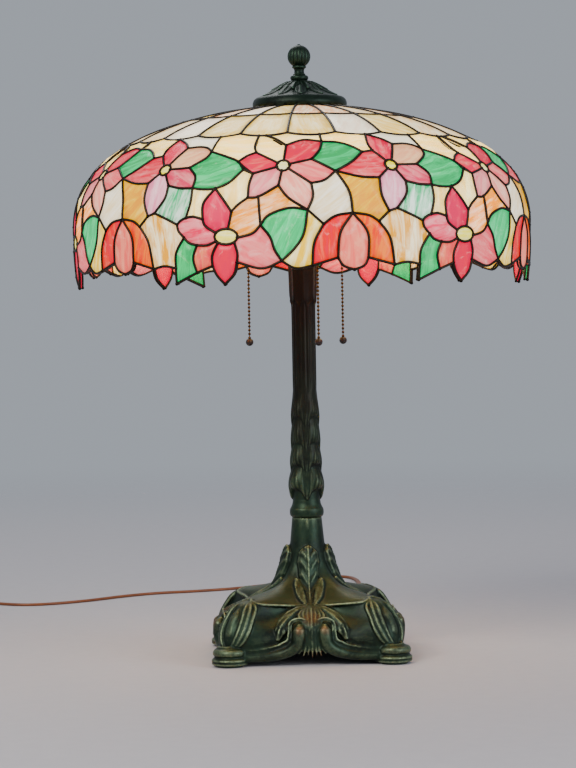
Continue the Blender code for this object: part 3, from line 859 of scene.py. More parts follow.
def grown(name, mesh, tree, **values):
    """Runs a tree on a mesh and keeps the result as a plain mesh object."""
    start = into_scene(name + "_start", mesh)
    modifier = start.modifiers.new(name, "NODES")
    modifier.node_group = tree
    for socket in tree.interface.items_tree:
        key = socket.name.replace(" ", "_").lower()
        if socket.in_out == "INPUT" and key in values:
            modifier[socket.identifier] = values[key]
    bpy.context.view_layer.update()
    seen = start.evaluated_get(bpy.context.evaluated_depsgraph_get())
    result = bpy.data.meshes.new_from_object(seen)
    start.modifiers.remove(modifier)
    bpy.data.objects.remove(start)
    result.name = name
    result.shade_smooth()
    return into_scene(name, result)


BEAD_TREE = bead_tree("solder_bead")
print("tree:", BEAD_TREE.name, len(BEAD_TREE.nodes), "nodes")


# %% The whole network of lines
# inside this part of a flower's middle, squared, a line is left out
FLOWER_CLEAR = 0.9


def outside_flowers(p):
    """False inside the round middle of a flower, where no bead goes."""
    for angle, drop, across, down in FLOWERS.values():
        for shift in (-REPEAT_TURN, 0, REPEAT_TURN):
            x = (p.x - (angle + shift) * DEGREE) / across
            if x * x + ((p.y - drop) / down) ** 2 < FLOWER_CLEAR:
                return False
    return True


def network(inward):
    """All lead lines as mesh edges on the form, with the meeting places marked."""
    points, edges, joints = [], [], []

    def lay(line):
        for k in range(REPEATS):
            start = len(points)
            for p in line:
                points.append(form(p.x / DEGREE + REPEAT_TURN * k, p.y * MM, inward))
            joints.extend([True] + [False] * (len(line) - 2) + [True])
            edges.extend((i, i + 1) for i in range(start, len(points) - 1))

    for line in board:
        kept = [p for p in line if outside_flowers(p)]
        if len(kept) > 1:
            lay(kept)
    top = CAP_DROP / MM
    for column in range(REPEAT_TURN // CROWN_STEP):
        angle = CROWN_FIRST + column * CROWN_STEP
        lay([on_board(angle, top + (CROWN_JOINT_DROP - top) * k / 24) for k in range(25)])
        lay([on_board(angle + CROWN_STEP * j / 6, ring_line(j / 6)) for j in range(7)])
    mesh = bpy.data.meshes.new("lines")
    mesh.from_pydata([tuple(p) for p in points], edges, [])
    mark = mesh.attributes.new("joint", "BOOLEAN", "POINT")
    mark.data.foreach_set("value", joints)
    return mesh


solder, tree, shader = new_material("dark_patina_solder")
# Solder is tin and lead, brushed with a copper sulphate patina that turns it brown-black, in
# patches a little darker or browner at random.
place = node(tree, "ShaderNodeTexCoord")
mottle = node(
    tree, "ShaderNodeTexNoise", {"Vector": place.outputs["Object"], "Scale": 220.0, "Detail": 4.0}
)
tone = node(
    tree, "ShaderNodeMix",
    {0: mottle.outputs["Fac"], 6: colour("#16100b"), 7: colour("#3a2c1d")},
    data_type="RGBA",
)
pits = node(
    tree, "ShaderNodeBump", {"Height": mottle.outputs["Fac"], "Strength": 0.35, "Distance": 0.0003}
)
tree.links.new(tone.outputs[2], shader.inputs["Base Color"])
tree.links.new(pits.outputs["Normal"], shader.inputs["Normal"])
shader.inputs["Metallic"].default_value = 0.75
shader.inputs["Roughness"].default_value = 0.42

for name, inward, width, joint_width, sides in (
    ("solder_outside", 0.0, 2.7 * MM, 3.6 * MM, 7), ("solder_inside", GLASS, 2.4 * MM, 3.0 * MM, 5),
):
    lines = grown(
        name, network(inward), BEAD_TREE, width=width, joint_width=joint_width, lumps=0.7,
        sides=sides, finish=solder,
    )
    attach(lines, "shade")
    print(name, len(lines.data.polygons), "faces")

# %% [markdown]
# ## Bronze with a verdigris patina
# Base and column are cast in a copper alloy and treated with salts until the skin turns dark green.
# Wax and dirt stay in the hollows, which are nearly black, while hands and dusters lift the ridges
# to a pale sage green and in the end back to coppery metal; the pale ridges also carry a painted
# highlight. Pointiness finds ridges and hollows, and a noise of 25 mm patches varies the green.
# Upward faces get a lighter green, a painted top light, and the column gets browner with height,
# which is painted warm light from the glowing shade above. Each layer is a colour and the masks
# that say where it lies. A mask is a value with the range that brings it in.


# %% Material: patinated bronze
def patinated(name, greens, brown, ridge, copper, hollow, painted_lamp_glow_heights, ridge_wear_and_highlight_heights):
    """Four greens, the last lighter on upward faces as painted top light, then brown above a height
    as painted warm light from the shade, dark hollows, pale ridges that are worn patina with a
    painted highlight, and rubbed copper.
    """
    made, tree, shader = new_material(name)
    place = node(tree, "ShaderNodeTexCoord")
    patches = node(
        tree, "ShaderNodeTexNoise",
        {"Vector": place.outputs["Object"], "Scale": 38.0, "Detail": 4.0},
    )
    speckle = node(
        tree, "ShaderNodeTexNoise",
        {"Vector": place.outputs["Object"], "Scale": 330.0, "Detail": 5.0, "Roughness": 0.7},
    )
    shape = node(tree, "ShaderNodeNewGeometry")
    facing = node(tree, "ShaderNodeSeparateXYZ", {"Vector": shape.outputs["Normal"]})
    position = node(tree, "ShaderNodeSeparateXYZ", {"Vector": place.outputs["Object"]})
    rubbed = node(tree, "ShaderNodeAttribute", attribute_name="rubbed")
    patch, spot, height = patches.outputs["Fac"], speckle.outputs["Fac"], position.outputs["Z"]
    point = shape.outputs["Pointiness"]
    # colour, then each mask as value, low end, high end and how strong it is at the high end
    layers = [
        (greens[1], (patch, 0.4, 0.62, 1.0)),
        (greens[2], (spot, 0.45, 0.75, 0.35)),
        # upward faces lighter: painted top light
        (greens[3], (facing.outputs["Z"], 0.55, 0.95, 0.6)),
        # brown with height: painted warm light from the glowing shade above
        (brown, (height, *painted_lamp_glow_heights, 0.92)),
        (hollow, (point, 0.497, 0.44, 0.9)),
        # pale ridges: worn patina and a painted highlight, fading with height on the base
        (ridge, (point, 0.506, 0.565, 0.8), (spot, 0.25, 0.55, 1.0), (height, *ridge_wear_and_highlight_heights, 1.0)),
        (copper, (point, 0.53, 0.62, 0.9), (patch, 0.52, 0.68, 1.0)),
        (copper, (rubbed.outputs["Fac"], 0.0, 1.0, 1.0)),
    ]
    skin = colour(greens[0])
    for over, *masks in layers:
        part = 1.0
        for value, low, high, most in masks:
            ranged = node(
                tree, "ShaderNodeMapRange",
                {"Value": value, "From Min": low, "From Max": high, "To Max": most},
            )
            both = node(
                tree, "ShaderNodeMath", {0: part, 1: ranged.outputs["Result"]},
                operation="MULTIPLY",
            )
            part = both.outputs[0]
        mixed = node(tree, "ShaderNodeMix", {0: part, 6: skin, 7: colour(over)}, data_type="RGBA")
        skin = mixed.outputs[2]
    pitted = node(
        tree, "ShaderNodeBump", {"Height": spot, "Strength": 0.4, "Distance": 0.0005}
    )
    rough = node(tree, "ShaderNodeMapRange", {"Value": spot, "To Min": 0.26, "To Max": 0.6})
    tree.links.new(skin, shader.inputs["Base Color"])
    tree.links.new(rough.outputs["Result"], shader.inputs["Roughness"])
    tree.links.new(pitted.outputs["Normal"], shader.inputs["Normal"])
    shader.inputs["Metallic"].default_value = 0.7
    return made


base_bronze = patinated(
    "verdigris_cast_bronze", ("#101d17", "#213628", "#3a4a2c", "#414b2c"), brown="#1d0d08",
    ridge="#a4b78e", copper="#7c4023", hollow="#060b08", painted_lamp_glow_heights=(0.15, 0.36),
    ridge_wear_and_highlight_heights=(0.27, 0.08),
)
# the cap gets none of the painted warm light from the shade, and its pale ridges, worn patina with
# a painted highlight, are pale at every height
cap_bronze = patinated(
    "green_spun_bronze", ("#0a1710", "#11251a", "#1c3626", "#14281c"), brown="#0c1a13",
    ridge="#5d8468", copper="#5d8468", hollow="#040a06", painted_lamp_glow_heights=(0.9, 1.0),
    ridge_wear_and_highlight_heights=(2.0, 1.0),
)
print("materials:", base_bronze.name, cap_bronze.name)


# %% Helper: a turned surface with relief
def turned_relief(name, outline, finish, around=96, relief=None):
    """Turns (radius, height) points in mm. relief(angle, height, radius) adds to the radius."""
    rings = []
    for r, z in outline:
        ring = []
        for k in range(around):
            angle = tau * k / around
            reach = r + (relief(angle, z, r) if relief and r > 0.2 else 0.0)
            ring.append(Vector((reach * sin(angle), -reach * cos(angle), z)) * MM)
        rings.append(ring)
    points, faces = skinned(rings)
    item = add_mesh(name, points, faces, finish)
    bm = bmesh.new()
    bm.from_mesh(item.data)
    bmesh.ops.remove_doubles(bm, verts=bm.verts, dist=1e-6)
    bmesh.ops.holes_fill(bm, edges=[e for e in bm.edges if e.is_boundary])
    bmesh.ops.recalc_face_normals(bm, faces=bm.faces)
    bm.to_mesh(item.data)
    bm.free()
    item.data.shade_smooth()
    return item


def fine_outline(corners, step):
    """A smooth outline through (radius, height) corners, with points about a step apart."""
    longest = max(hypot(b[0] - a[0], b[1] - a[1]) for a, b in zip(corners, corners[1:]))
    line = smooth_line([Vector((r, z)) for r, z in corners], max(int(longest / step), 2))
    return [(max(p.x, 0.0), p.y) for p in line]


# %% [markdown]
# ## Finial and heat cap
# The finial is a cast ball with turned neck; its ribs follow a cosine round the ball, fading out
# above and below. The heat cap is spun sheet with a rolled edge and a low leaf relief pressed in.

# %% Finial
RIBS = 16
FINIAL_OUTSIDE = [
    (0, 616), (1.3, 615.8), (2.1, 614.9), (4.6, 614.0), (7.8, 611.9), (10.2, 608.4),
    (11.2, 604.0), (10.6, 599.8), (8.8, 596.4), (7.2, 594.7), (6.4, 594.2), (7.0, 593.5),
    (7.0, 592.2), (5.6, 591.2), (4.9, 589.0), (5.3, 586.6), (6.4, 585.6), (6.0, 584.9),
    (8.2, 584.0), (9.1, 582.6), (8.9, 580.9), (8.0, 579.4),
]
FINIAL_BORE = [(3.4, 579.4), (3.4, 591.0), (0, 591.0)]


def ribbed(angle, z, r):
    """Ribs on the ball only."""
    fade = smoothstep(594, 599, z) * (1 - smoothstep(605, 613, z)) ** 0.6
    return 0.075 * r * fade * (abs(cos(RIBS / 2 * angle)) ** 0.7 - 0.6)


finial_outline = fine_outline(FINIAL_OUTSIDE, 0.7) + FINIAL_BORE
finial = turned_relief("ribbed_finial", finial_outline, cap_bronze, 192, ribbed)
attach(finial, "finial")
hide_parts("finial")
print("finial:", len(finial.data.polygons), "faces")

# %% Heat cap
CAP_TOP = [
    (3.4, 578.8), (8.6, 578.8), (10.5, 578.2), (15, 576.2), (21, 572.9), (28, 568.6),
    (34, 565.4), (38.5, 563.6), (41.2, 562.9), (43.6, 562.2), (46.0, 560.2), (47.4, 557.0),
    (47.4, 554.4), (46.4, 552.4), (44.6, 551.7),
]
CAP_UNDER = [
    (43.4, 552.6), (42.6, 556.0), (41.0, 559.2), (34, 562.2), (26, 566.4), (18, 570.8),
    (3.4, 575.6),
]
CAP_LEAVES = 11
# each row of leaves: radius at its base and at its points, and its turn in parts of a leaf
CAP_ROWS = [(9, 28, 0.0), (20, 40.5, 0.5)]
CAP_BEAD_TOP = 563.0


def pressed_leaves(angle, z, r):
    """Two rows of pointed leaves with a midrib, the outer row between the inner ones."""
    if z < CAP_BEAD_TOP or r < CAP_ROWS[0][0]:
        return 0.0
    height = 0.0
    for inner, outer, shift in CAP_ROWS:
        t = (r - inner) / (outer - inner)
        if 0 <= t <= 1:
            off = abs((CAP_LEAVES * angle / tau + shift) % 1 - 0.5) * 2
            inside = smoothstep(0, 0.3, 1 - t**2.4 - off)
            height = max(height, inside * (1 + 0.7 * exp(-((off / 0.13) ** 2)) - 0.35 * off))
    return 2.6 * height - 0.8


cap_outline = fine_outline(CAP_TOP, 1.0) + CAP_UNDER + [CAP_TOP[0]]
heat_cap = turned_relief("leafy_heat_cap", cap_outline, cap_bronze, 220, pressed_leaves)
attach(heat_cap, "shade")
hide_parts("heat_cap")
print("heat cap:", len(heat_cap.data.polygons), "faces")

# %% [markdown]
# ## Column
# The column is one hollow casting. Its top is fluted, its neck has faint ribs, and below them four
# husks overlap, each of four pointed leaves that swell and then tuck under. All of it is relief on
# a turned surface, so one function of angle and height describes it.

# %% Column
COLUMN = [
    (15.0, 139.4), (16.6, 141), (17.2, 144), (16.9, 147.5), (15.6, 150), (14.6, 152.5),
    (14.0, 156), (13.6, 162), (13.2, 192), (12.8, 215), (12.4, 241), (12.0, 268), (11.9, 300),
    (12.0, 348), (12.5, 357), (13.0, 362), (13.6, 384), (14.4, 404), (15.2, 409.6),
]
# top of a husk, where its side leaves end, how far it swells in mm
HUSKS = [(204, 167, 7.0), (226, 191.6, 4.4), (250, 214.2, 3.2), (270, 240.6, 2.8)]
FLUTES = 8
FLUTE_FOOT = 354
PLAIN_RIBS = 18
NECK_FOOT = 262


def column_relief(angle, z, r):
    """Husks low down, faint ribs on the neck above them, and flutes at the top."""
    depth = 0.0
    for top, foot, swell in HUSKS:
        # four rounded side leaves, and between them four narrow ones whose points hang lower
        side = abs(sin(2 * angle))
        front = abs(cos(2 * angle)) ** 5
        end = foot - 10 * front
        start = top - 9 * side
        part = (start - z) / (start - end)
        if 0 <= part < 1:
            body = sin(pi * part**2.1) ** 0.7 * smoothstep(1, 0.96, part)
            off = (angle + pi / 4) % (pi / 2) - pi / 4
            midrib = 0.9 * exp(-((off / 0.07) ** 2)) * part
            edge = 0.7 * exp(-(((abs(off) - 0.16 - 0.25 * (1 - part)) / 0.05) ** 2)) * part
            veins = 0.2 * cos(26 * angle + (6 if off > 0 else -6) * part)
            leaf = swell * body * (0.5 + 0.5 * side**1.5)
            depth = max(depth, leaf + midrib + edge + veins * body)
    if z > NECK_FOOT:
        wave = abs(cos(FLUTES / 2 * (angle - pi / FLUTES)))
        arch = 9 * (1 - wave) ** 1.5
        fluted = smoothstep(FLUTE_FOOT - 2, FLUTE_FOOT, z - arch)
        rim = exp(-(((z - FLUTE_FOOT - arch) / 1.3) ** 2)) * smoothstep(0.25, 0.5, wave)
        depth += fluted * (0.9 - 1.7 * wave**1.2) + 0.9 * rim
        ribs = cos(PLAIN_RIBS * angle) * smoothstep(NECK_FOOT, NECK_FOOT + 18, z)
        depth += 0.3 * (1 - fluted) * ribs
    return depth


COLUMN_ROW = 1.2
column_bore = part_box("tie_rod")[1].x / MM + 0.4
outside = fine_outline(COLUMN, 8)
bore = [(column_bore, COLUMN[-1][1]), (column_bore, COLUMN[0][1])]
column_outline = [bore[1], *outside, *bore]
dense = []
for (r0, z0), (r1, z1) in zip(column_outline, column_outline[1:]):
    on_outside = r0 > column_bore and r1 > column_bore
    count = max(int(abs(z1 - z0) / COLUMN_ROW), 1) if on_outside else 1
    dense += [(r0 + (r1 - r0) * k / count, z0 + (z1 - z0) * k / count) for k in range(count)]
dense.append(column_outline[-1])
column = turned_relief("husk_column", dense, base_bronze, 176, column_relief)
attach(column, "stand")
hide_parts("column_casting")
print("column:", len(column.data.polygons), "faces")

# %% [markdown]
# ## Base casting
# A sculptor models such a base in clay over a plain form, then it is cast in one pour. The same
# order works here: a four-cornered form, then leaves, ridges, scrolls and feet laid on it as closed
# shapes, and at the end a voxel remesh melts them into one skin with soft inner corners, as sand
# casting gives.

# %% The plain form under the ornament
# height, reach at the middle of a side, reach at a corner
FORM = [
    (12.5, 78, 108), (15, 83, 116), (26, 85, 117), (38, 82.5, 114), (46, 75, 108.5),
    (52, 66, 103.5), (58, 57, 98.5), (62, 47, 90), (66, 39, 69), (71, 32.5, 46), (78, 26.5, 33),
    (88, 21.8, 25), (98, 19.4, 20.5), (112, 17.6, 17.6), (126, 16.2, 16.2), (139, 15.0, 15.0),
]
FORM_FINE = [(p.z, p.x, p.y) for p in smooth_line([(s, c, z) for z, s, c in FORM], 4)]
# the hollow underside, in the same three numbers
UNDER = [(139, 6, 6), (60, 6, 6), (52, 40, 60), (40, 68, 98), (12.5, 72, 102)]


def four_cornered(side, corner, angle):
    """The reach at this angle of a rounded square, given its reach at a side and at a corner."""
    return side + (corner - side) * abs(sin(2 * angle)) ** 5


def reach_at(angle, z):
    """How far the plain form reaches from the middle at this angle and height, in mm."""
    for (z0, s0, c0), (z1, s1, c1) in zip(FORM_FINE, FORM_FINE[1:]):
        if z <= z1 or z1 == FORM_FINE[-1][0]:
            t = min(max((z - z0) / (z1 - z0), 0.0), 1.0)
            return four_cornered(s0 + (s1 - s0) * t, c0 + (c1 - c0) * t, angle)


def on_base(degrees, z, lift=0.0):
    """A point on the base at this angle from the front and this height, lifted off the form."""
    angle = radians(degrees)
    reach = reach_at(angle, z) + lift
    return Vector((reach * sin(angle), -reach * cos(angle), z)) * MM


def dished(angle, z):
    """The panels either side of each palmette: hollow under the lip, full lower down."""
    off = abs((angle / (pi / 2) + 0.5) % 1 - 0.5) * pi / 2
    across = exp(-(((off - 0.43) / 0.17) ** 2))
    return across * (3.0 * exp(-(((z - 24) / 9) ** 2)) - 9.0 * exp(-(((z - 47) / 9) ** 2)))


clay_points, clay_faces = [], []


def add_clay(points, faces):
    """Adds one closed shape to the model."""
    start = len(clay_points)
    clay_points.extend(points)
    clay_faces.extend(tuple(v + start for v in face) for face in faces)


def ring_at(z, reach):
    """A ring of 160 points at this height. reach(angle) is in mm."""
    angles = [tau * k / 160 for k in range(160)]
    return [Vector((reach(a) * sin(a), -reach(a) * cos(a), z)) * MM for a in angles]


rings = [ring_at(z, lambda a: reach_at(a, z) + dished(a, z)) for z, *_ in FORM_FINE]
rings += [ring_at(z, lambda a: four_cornered(side, corner, a)) for z, side, corner in UNDER]
add_clay(*skinned(rings, joined=True))
print("form:", len(clay_faces), "faces")


# %% Ridges, scrolls and leaves to lay on it
def add_tube(path, radii, sides=10):
    """A round ridge along a path with rounded ends, its radius in mm at even steps of the path."""
    line = smooth_line(path, 5)
    rings, count = [], len(line)
    first = line[0] - (line[1] - line[0]).normalized() * radii[0] * 0.6 * MM
    last = line[-1] + (line[-1] - line[-2]).normalized() * radii[-1] * 0.6 * MM
    line = [first, *line, last]
    for k, here in enumerate(line):
        before, after = line[max(k - 1, 0)], line[min(k + 1, count + 1)]
        along = (after - before).normalized()
        across = along.orthogonal() if k == 0 else across - along * across.dot(along)
        across.normalize()
        up = along.cross(across)
        part = min(max((k - 1) / (count - 1), 0.0), 1.0) * (len(radii) - 1)
        low = min(int(part), len(radii) - 2)
        radius = (radii[low] + (radii[low + 1] - radii[low]) * (part - low)) * MM
        if k in (0, count + 1):
            radius *= 0.7
        angles = [tau * i / sides for i in range(sides)]
        rings.append([here + (across * cos(a) + up * sin(a)) * radius for a in angles])
    add_clay(*skinned(rings, capped=True))


LEAF_LEAN = 0.25


def add_leaf(spine, half_width, lobes, notch, vein, thick, wrap, peak, folds):
    """An acanthus leaf along a spine, widest where peak says. Its edge is lobed, veins run from the
    midrib to the lobes, folds run along it, and it bends round a radius of wrap. Sizes in mm."""
    line = smooth_line(spine, 8)
    count, wide = len(line), 14
    power = log(0.5) / log(peak)
    rings = []
    for k, here in enumerate(line):
        t = k / (count - 1)
        along = (line[min(k + 1, count - 1)] - line[max(k - 1, 0)]).normalized()
        out = Vector((here.x, here.y, 0)).normalized() + Vector((0, 0, LEAF_LEAN))
        out = (out - along * out.dot(along)).normalized()
        across = along.cross(out)
        lobed = 1 - notch * abs(sin(pi * lobes * t)) ** 0.5 * (0.4 + 0.6 * t)
        width = half_width * max(sin(pi * (0.03 + 0.94 * t) ** power), 0.03) ** 0.7 * lobed
        top, back = [], []
        for i in range(wide + 1):
            u = 2 * i / wide - 1
            off = u * width
            crease = 0.9 * exp(-((u / 0.12) ** 2))
            ribs = vein * cos(tau * (lobes * t - 1.3 * abs(u))) * (0.25 + abs(u)) * (1 - abs(u) ** 4)
            ribs += folds * cos(3 * tau * u) * (1 - abs(u) ** 4)
            lift = thick / 2 * (1 - 0.55 * abs(u) ** 3) + crease + ribs - off * off / (2 * wrap)
            top.append(here + across * off * MM + out * lift * MM)
            back.append(here + across * off * MM + out * (-thick / 2 - off * off / (2 * wrap)) * MM)
        rings.append(top + back[::-1])
    add_clay(*skinned(rings, capped=True))


# radius and height along the tall leaf, and the place of an arm's knob, right and up
TALL_LEAF = [
    (56, 54.5), (47, 59.5), (37, 67), (30.5, 78), (26.2, 90), (23.6, 100), (20.8, 107),
    (18.4, 110.5),
]
NUB = (12.4, 35.5)
SCROLL = 8.8


def turned_to(front, x, y, z):
    """A point given as right, forward and up in mm, carried round to the side at this angle."""
    return Matrix.Rotation(radians(front), 3, "Z") @ Vector((x, -y, z)) * MM


def add_half_side(front, side):
    """The leaves, lip, ridges and arm of one half (side is -1 or 1) of one side of the base."""

    def put(degrees, z, lift=0.0):
        return on_base(front + side * degrees, z, lift)

    def beside(x, y, z):
        return turned_to(front, side * x, y, z)

    # small leaf beside the foot of the tall one
    add_leaf(
        [put(2, 55, 1), put(10, 61, 2), put(19, 69, 2.2), put(25, 79, 1.6)], 7.2,
        lobes=3, notch=0.12, vein=0.3, thick=3.4, wrap=14, peak=0.6, folds=0.6,
    )
    # leaf that spreads beside the palmette
    add_leaf(
        [put(5, 55, 0.5), put(11, 52, 2), put(16.5, 45.5, 3), put(20, 36, 3), put(21.5, 25, 2)], 7.6,
        lobes=5, notch=0.2, vein=0.5, thick=3.4, wrap=26, peak=0.6, folds=0.9,
    )
    # lip of the top, from the corner to the palmette
    add_tube(
        [put(44, 63, 0.2), put(36, 59.5, 0.8), put(24, 57, 1.4), put(12, 56, 1.6), put(0, 56, 1)],
        [1.7, 1.3, 1.3, 1.8],
    )
    # three ridges that run down together beside the corner and sweep out to the foot
    for k, (thin, wide) in enumerate([(1.3, 1.9), (1.4, 2.2), (1.2, 1.7)]):
        add_tube(
            [
                put(43.5 - 0.9 * k, 63.5 - 0.8 * k, 0.6), put(40.6 - 2.3 * k, 56, 1.2),
                put(39.4 - 2.2 * k, 46, 1.4), put(39.4 - 2.2 * k, 34, 1.4),
                put(41.0 - 1.9 * k, 24, 1.6), put(43.5 - 1.2 * k, 17, 2.0),
            ],
            [thin, wide, wide + 0.3, wide, thin],
        )
    # arm from its round knob to the foot
    add_tube(
        [
            beside(NUB[0], 88.5, NUB[1] + 3.6), beside(NUB[0], 90, NUB[1] - 0.5),
            beside(12.8, 90.5, 29), beside(15.5, 90.0, 20.5), beside(25, 88.5, 13.8),
            beside(40, 87, 10.0), beside(56, 87, 8.9), beside(69, 86, 9.2), beside(80, 82, 9.6),
        ],
        [2.8, 6.2, 6.6, 6.4, 5.6, 5.0, 4.6, 4.8, 5.0], 16,
    )
    # its bright upper edge, two lines that start as a scroll round the knob
    for swing, thick in ((SCROLL, 0.8), (SCROLL + 2.4, 0.9)):
        arc = []
        for degrees in (-20, 15, 50, 85, 120, 150):
            x, z = swing * cos(radians(degrees)), swing * sin(radians(degrees))
            arc.append(beside(NUB[0] - x, 88.0 - 0.02 * degrees, NUB[1] + z))
        gap = swing - SCROLL
        arc += [
            beside(21.5 + gap, 89.5, 27), beside(27 + gap, 89, 20.5 + gap),
            beside(37, 88, 17.0 + gap), beside(52, 88.5, 14.6 + gap),
            beside(66, 88.5, 14.0 + gap), beside(78, 88, 16 + gap),
        ]
        add_tube(arc, [thick * part for part in (1, 1, 1.2, 1.4, 1.4, 1.2)])


for front in (0, 90, 180, 270):
    add_leaf(
        [turned_to(front, 0, r, z) for r, z in TALL_LEAF], 11.4,
        lobes=6, notch=0.12, vein=0.75, thick=5.4, wrap=15, peak=0.66, folds=0.35,
    )
    add_half_side(front, -1)
    add_half_side(front, 1)
    # palmette: ribs that fan out at the top, close up between the knobs and end in a fringe
    for k in range(-3, 4):
        off = abs(k)
        strand = [
            (0.9 * k, 60, 57.5), (4.0 * k, 79 - 0.9 * off, 50 - 0.5 * off),
            (2.9 * k, 90 - 0.6 * off, 41), (2.4 * k, 92.5 - 0.4 * off, 29),
            (3.3 * k, 93 - 0.4 * off, 18),
            (4.4 * k, 92 - 0.5 * off, 8.6 + 0.8 * off + 1.2 * (k % 2)),
        ]
        add_tube([turned_to(front, *place) for place in strand], [0.9, 1.5, 1.15, 1.0, 1.35, 0.7])
    # a full, rounded lobe at the corner
    lobe = [(57, -5), (45, -6), (31, -7.5), (19, -10)]
    add_tube([on_base(front + 45, z, lift) for z, lift in lobe], [3, 7, 8.5, 6], 16)
print("ornament:", len(clay_faces), "faces of clay")

# %% Scroll feet
FOOT_LOW, FOOT_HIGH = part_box("foot_felt_1")
FOOT_OUT = abs(FOOT_HIGH.x + FOOT_LOW.x) / 2 / MM * 2**0.5
# radius and height round a foot's own middle; the ends are nearly closed, then capped
FOOT = [
    (0.01, 1.9), (16.8, 1.9), (18.3, 2.8), (18.3, 3.9), (17.2, 4.8), (18.4, 5.7), (18.4, 7.2),
    (16.8, 8.4), (14.8, 9.3), (15.6, 10.4), (17.0, 12.0), (17.1, 14.8), (15.4, 17.2),
    (11.0, 18.4), (0.01, 18.8),
]
FOOT_SIDES = 40
for quarter in range(4):
    turn_by = radians(45 + 90 * quarter)
    middle = Vector((sin(turn_by), -cos(turn_by), 0)) * FOOT_OUT
    turns = [tau * k / FOOT_SIDES for k in range(FOOT_SIDES)]
    rows = [[(middle + Vector((r * cos(a), r * sin(a), z))) * MM for a in turns] for r, z in FOOT]
    add_clay(*skinned(rows, capped=True))
    curl = []
    for k in range(17):
        angle = turn_by + pi / 2 + 0.5 * k
        r = 14.6 - 0.8 * k
        curl.append((middle + Vector((r * cos(angle), r * sin(angle), 16.6 + 0.28 * k))) * MM)
    add_tube(curl, [2.6, 2.3, 1.9, 1.6])
print("clay:", len(clay_faces), "faces")

# %% Melt it into one casting
VOXEL = 1.0 * MM
clay = add_mesh("clay", clay_points, clay_faces, base_bronze)
melt = clay.modifiers.new("melt", "REMESH")
melt.mode, melt.voxel_size = "VOXEL", VOXEL
soften = clay.modifiers.new("soften", "SMOOTH")
soften.factor, soften.iterations = 0.5, 1
thin = clay.modifiers.new("thin", "DECIMATE")
thin.ratio = 0.42
bpy.context.view_layer.update()
seen = clay.evaluated_get(bpy.context.evaluated_depsgraph_get())
cast_mesh = bpy.data.meshes.new_from_object(seen)
bpy.data.objects.remove(clay)
cast_mesh.name = "leafy_base_casting"
casting = into_scene("leafy_base_casting", cast_mesh)
cast_mesh.materials.clear()
cast_mesh.materials.append(base_bronze)
cast_mesh.shade_smooth()
# hands and cloths reach the knobs and the heads of the palmettes first: place, size, most wear
rubbed_spots = []
for front in (0, 90, 180, 270):
    for x in (-NUB[0], NUB[0]):
        rubbed_spots.append((turned_to(front, x, 97.5, NUB[1] + 2), 6.5 * MM, 0.9))
    rubbed_spots.append((turned_to(front, 0, 84, 46), 11 * MM, 0.4))
rubbed = cast_mesh.attributes.new("rubbed", "FLOAT", "POINT")
values = []
for vertex in cast_mesh.vertices:
    wear = 0.0
    for spot, size, most in rubbed_spots:
        gap = (vertex.co - spot).length
        if gap < size:
            patchy = 0.7 + 0.3 * noise.noise(vertex.co * 400)
            wear = max(wear, most * (1 - gap / size) ** 0.6 * patchy)
    values.append(wear)
rubbed.data.foreach_set("value", values)
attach(casting, "stand")
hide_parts("base_casting")
print("casting:", len(cast_mesh.polygons), "faces")

# %% [markdown]
# ## Bead chains
# A pull chain is hollow brass balls strung on short dumbbell links, so it is flexible but can't
# stretch. One small ball is repeated along a line by Geometry Nodes with a thin wire through it.


# %% Geometry Nodes: beads on a line
def chain_tree(name):
    tree = bpy.data.node_groups.new(name, "GeometryNodeTree")
    tree.interface.new_socket("Geometry", in_out="OUTPUT", socket_type="NodeSocketGeometry")
    tree.interface.new_socket("Line", in_out="INPUT", socket_type="NodeSocketGeometry")
    for label in ("Bead", "Pitch", "Link"):
        tree.interface.new_socket(label, in_out="INPUT", socket_type="NodeSocketFloat")
    tree.interface.new_socket("Finish", in_out="INPUT", socket_type="NodeSocketMaterial")
    given = node(tree, "NodeGroupInput").outputs
    curve = node(tree, "GeometryNodeMeshToCurve", {"Mesh": given["Line"]})
    spots = node(
        tree, "GeometryNodeCurveToPoints",
        {"Curve": curve.outputs["Curve"], "Length": given["Pitch"]}, mode="LENGTH",
    )
    half = node(tree, "ShaderNodeMath", {0: given["Bead"], 1: 0.5}, operation="MULTIPLY")
    ball = node(
        tree, "GeometryNodeMeshUVSphere", {"Segments": 10, "Rings": 6, "Radius": half.outputs[0]}
    )
    beads = node(
        tree, "GeometryNodeInstanceOnPoints",
        {"Points": spots.outputs["Points"], "Instance": ball.outputs["Mesh"]},
    )
    wire_half = node(tree, "ShaderNodeMath", {0: given["Link"], 1: 0.5}, operation="MULTIPLY")
    ring = node(
        tree, "GeometryNodeCurvePrimitiveCircle", {"Resolution": 6, "Radius": wire_half.outputs[0]}
    )
    wire = node(
        tree, "GeometryNodeCurveToMesh",
        {"Curve": curve.outputs["Curve"], "Profile Curve": ring.outputs["Curve"], "Fill Caps": True},
    )
    whole = node(tree, "GeometryNodeJoinGeometry")
    tree.links.new(beads.outputs["Instances"], whole.inputs["Geometry"])
    tree.links.new(wire.outputs["Mesh"], whole.inputs["Geometry"])
    real = node(tree, "GeometryNodeRealizeInstances", {"Geometry": whole.outputs["Geometry"]})
    finish = node(
        tree, "GeometryNodeSetMaterial",
        {"Geometry": real.outputs["Geometry"], "Material": given["Finish"]},
    )
    node(tree, "NodeGroupOutput", {"Geometry": finish.outputs["Geometry"]})
    return tree


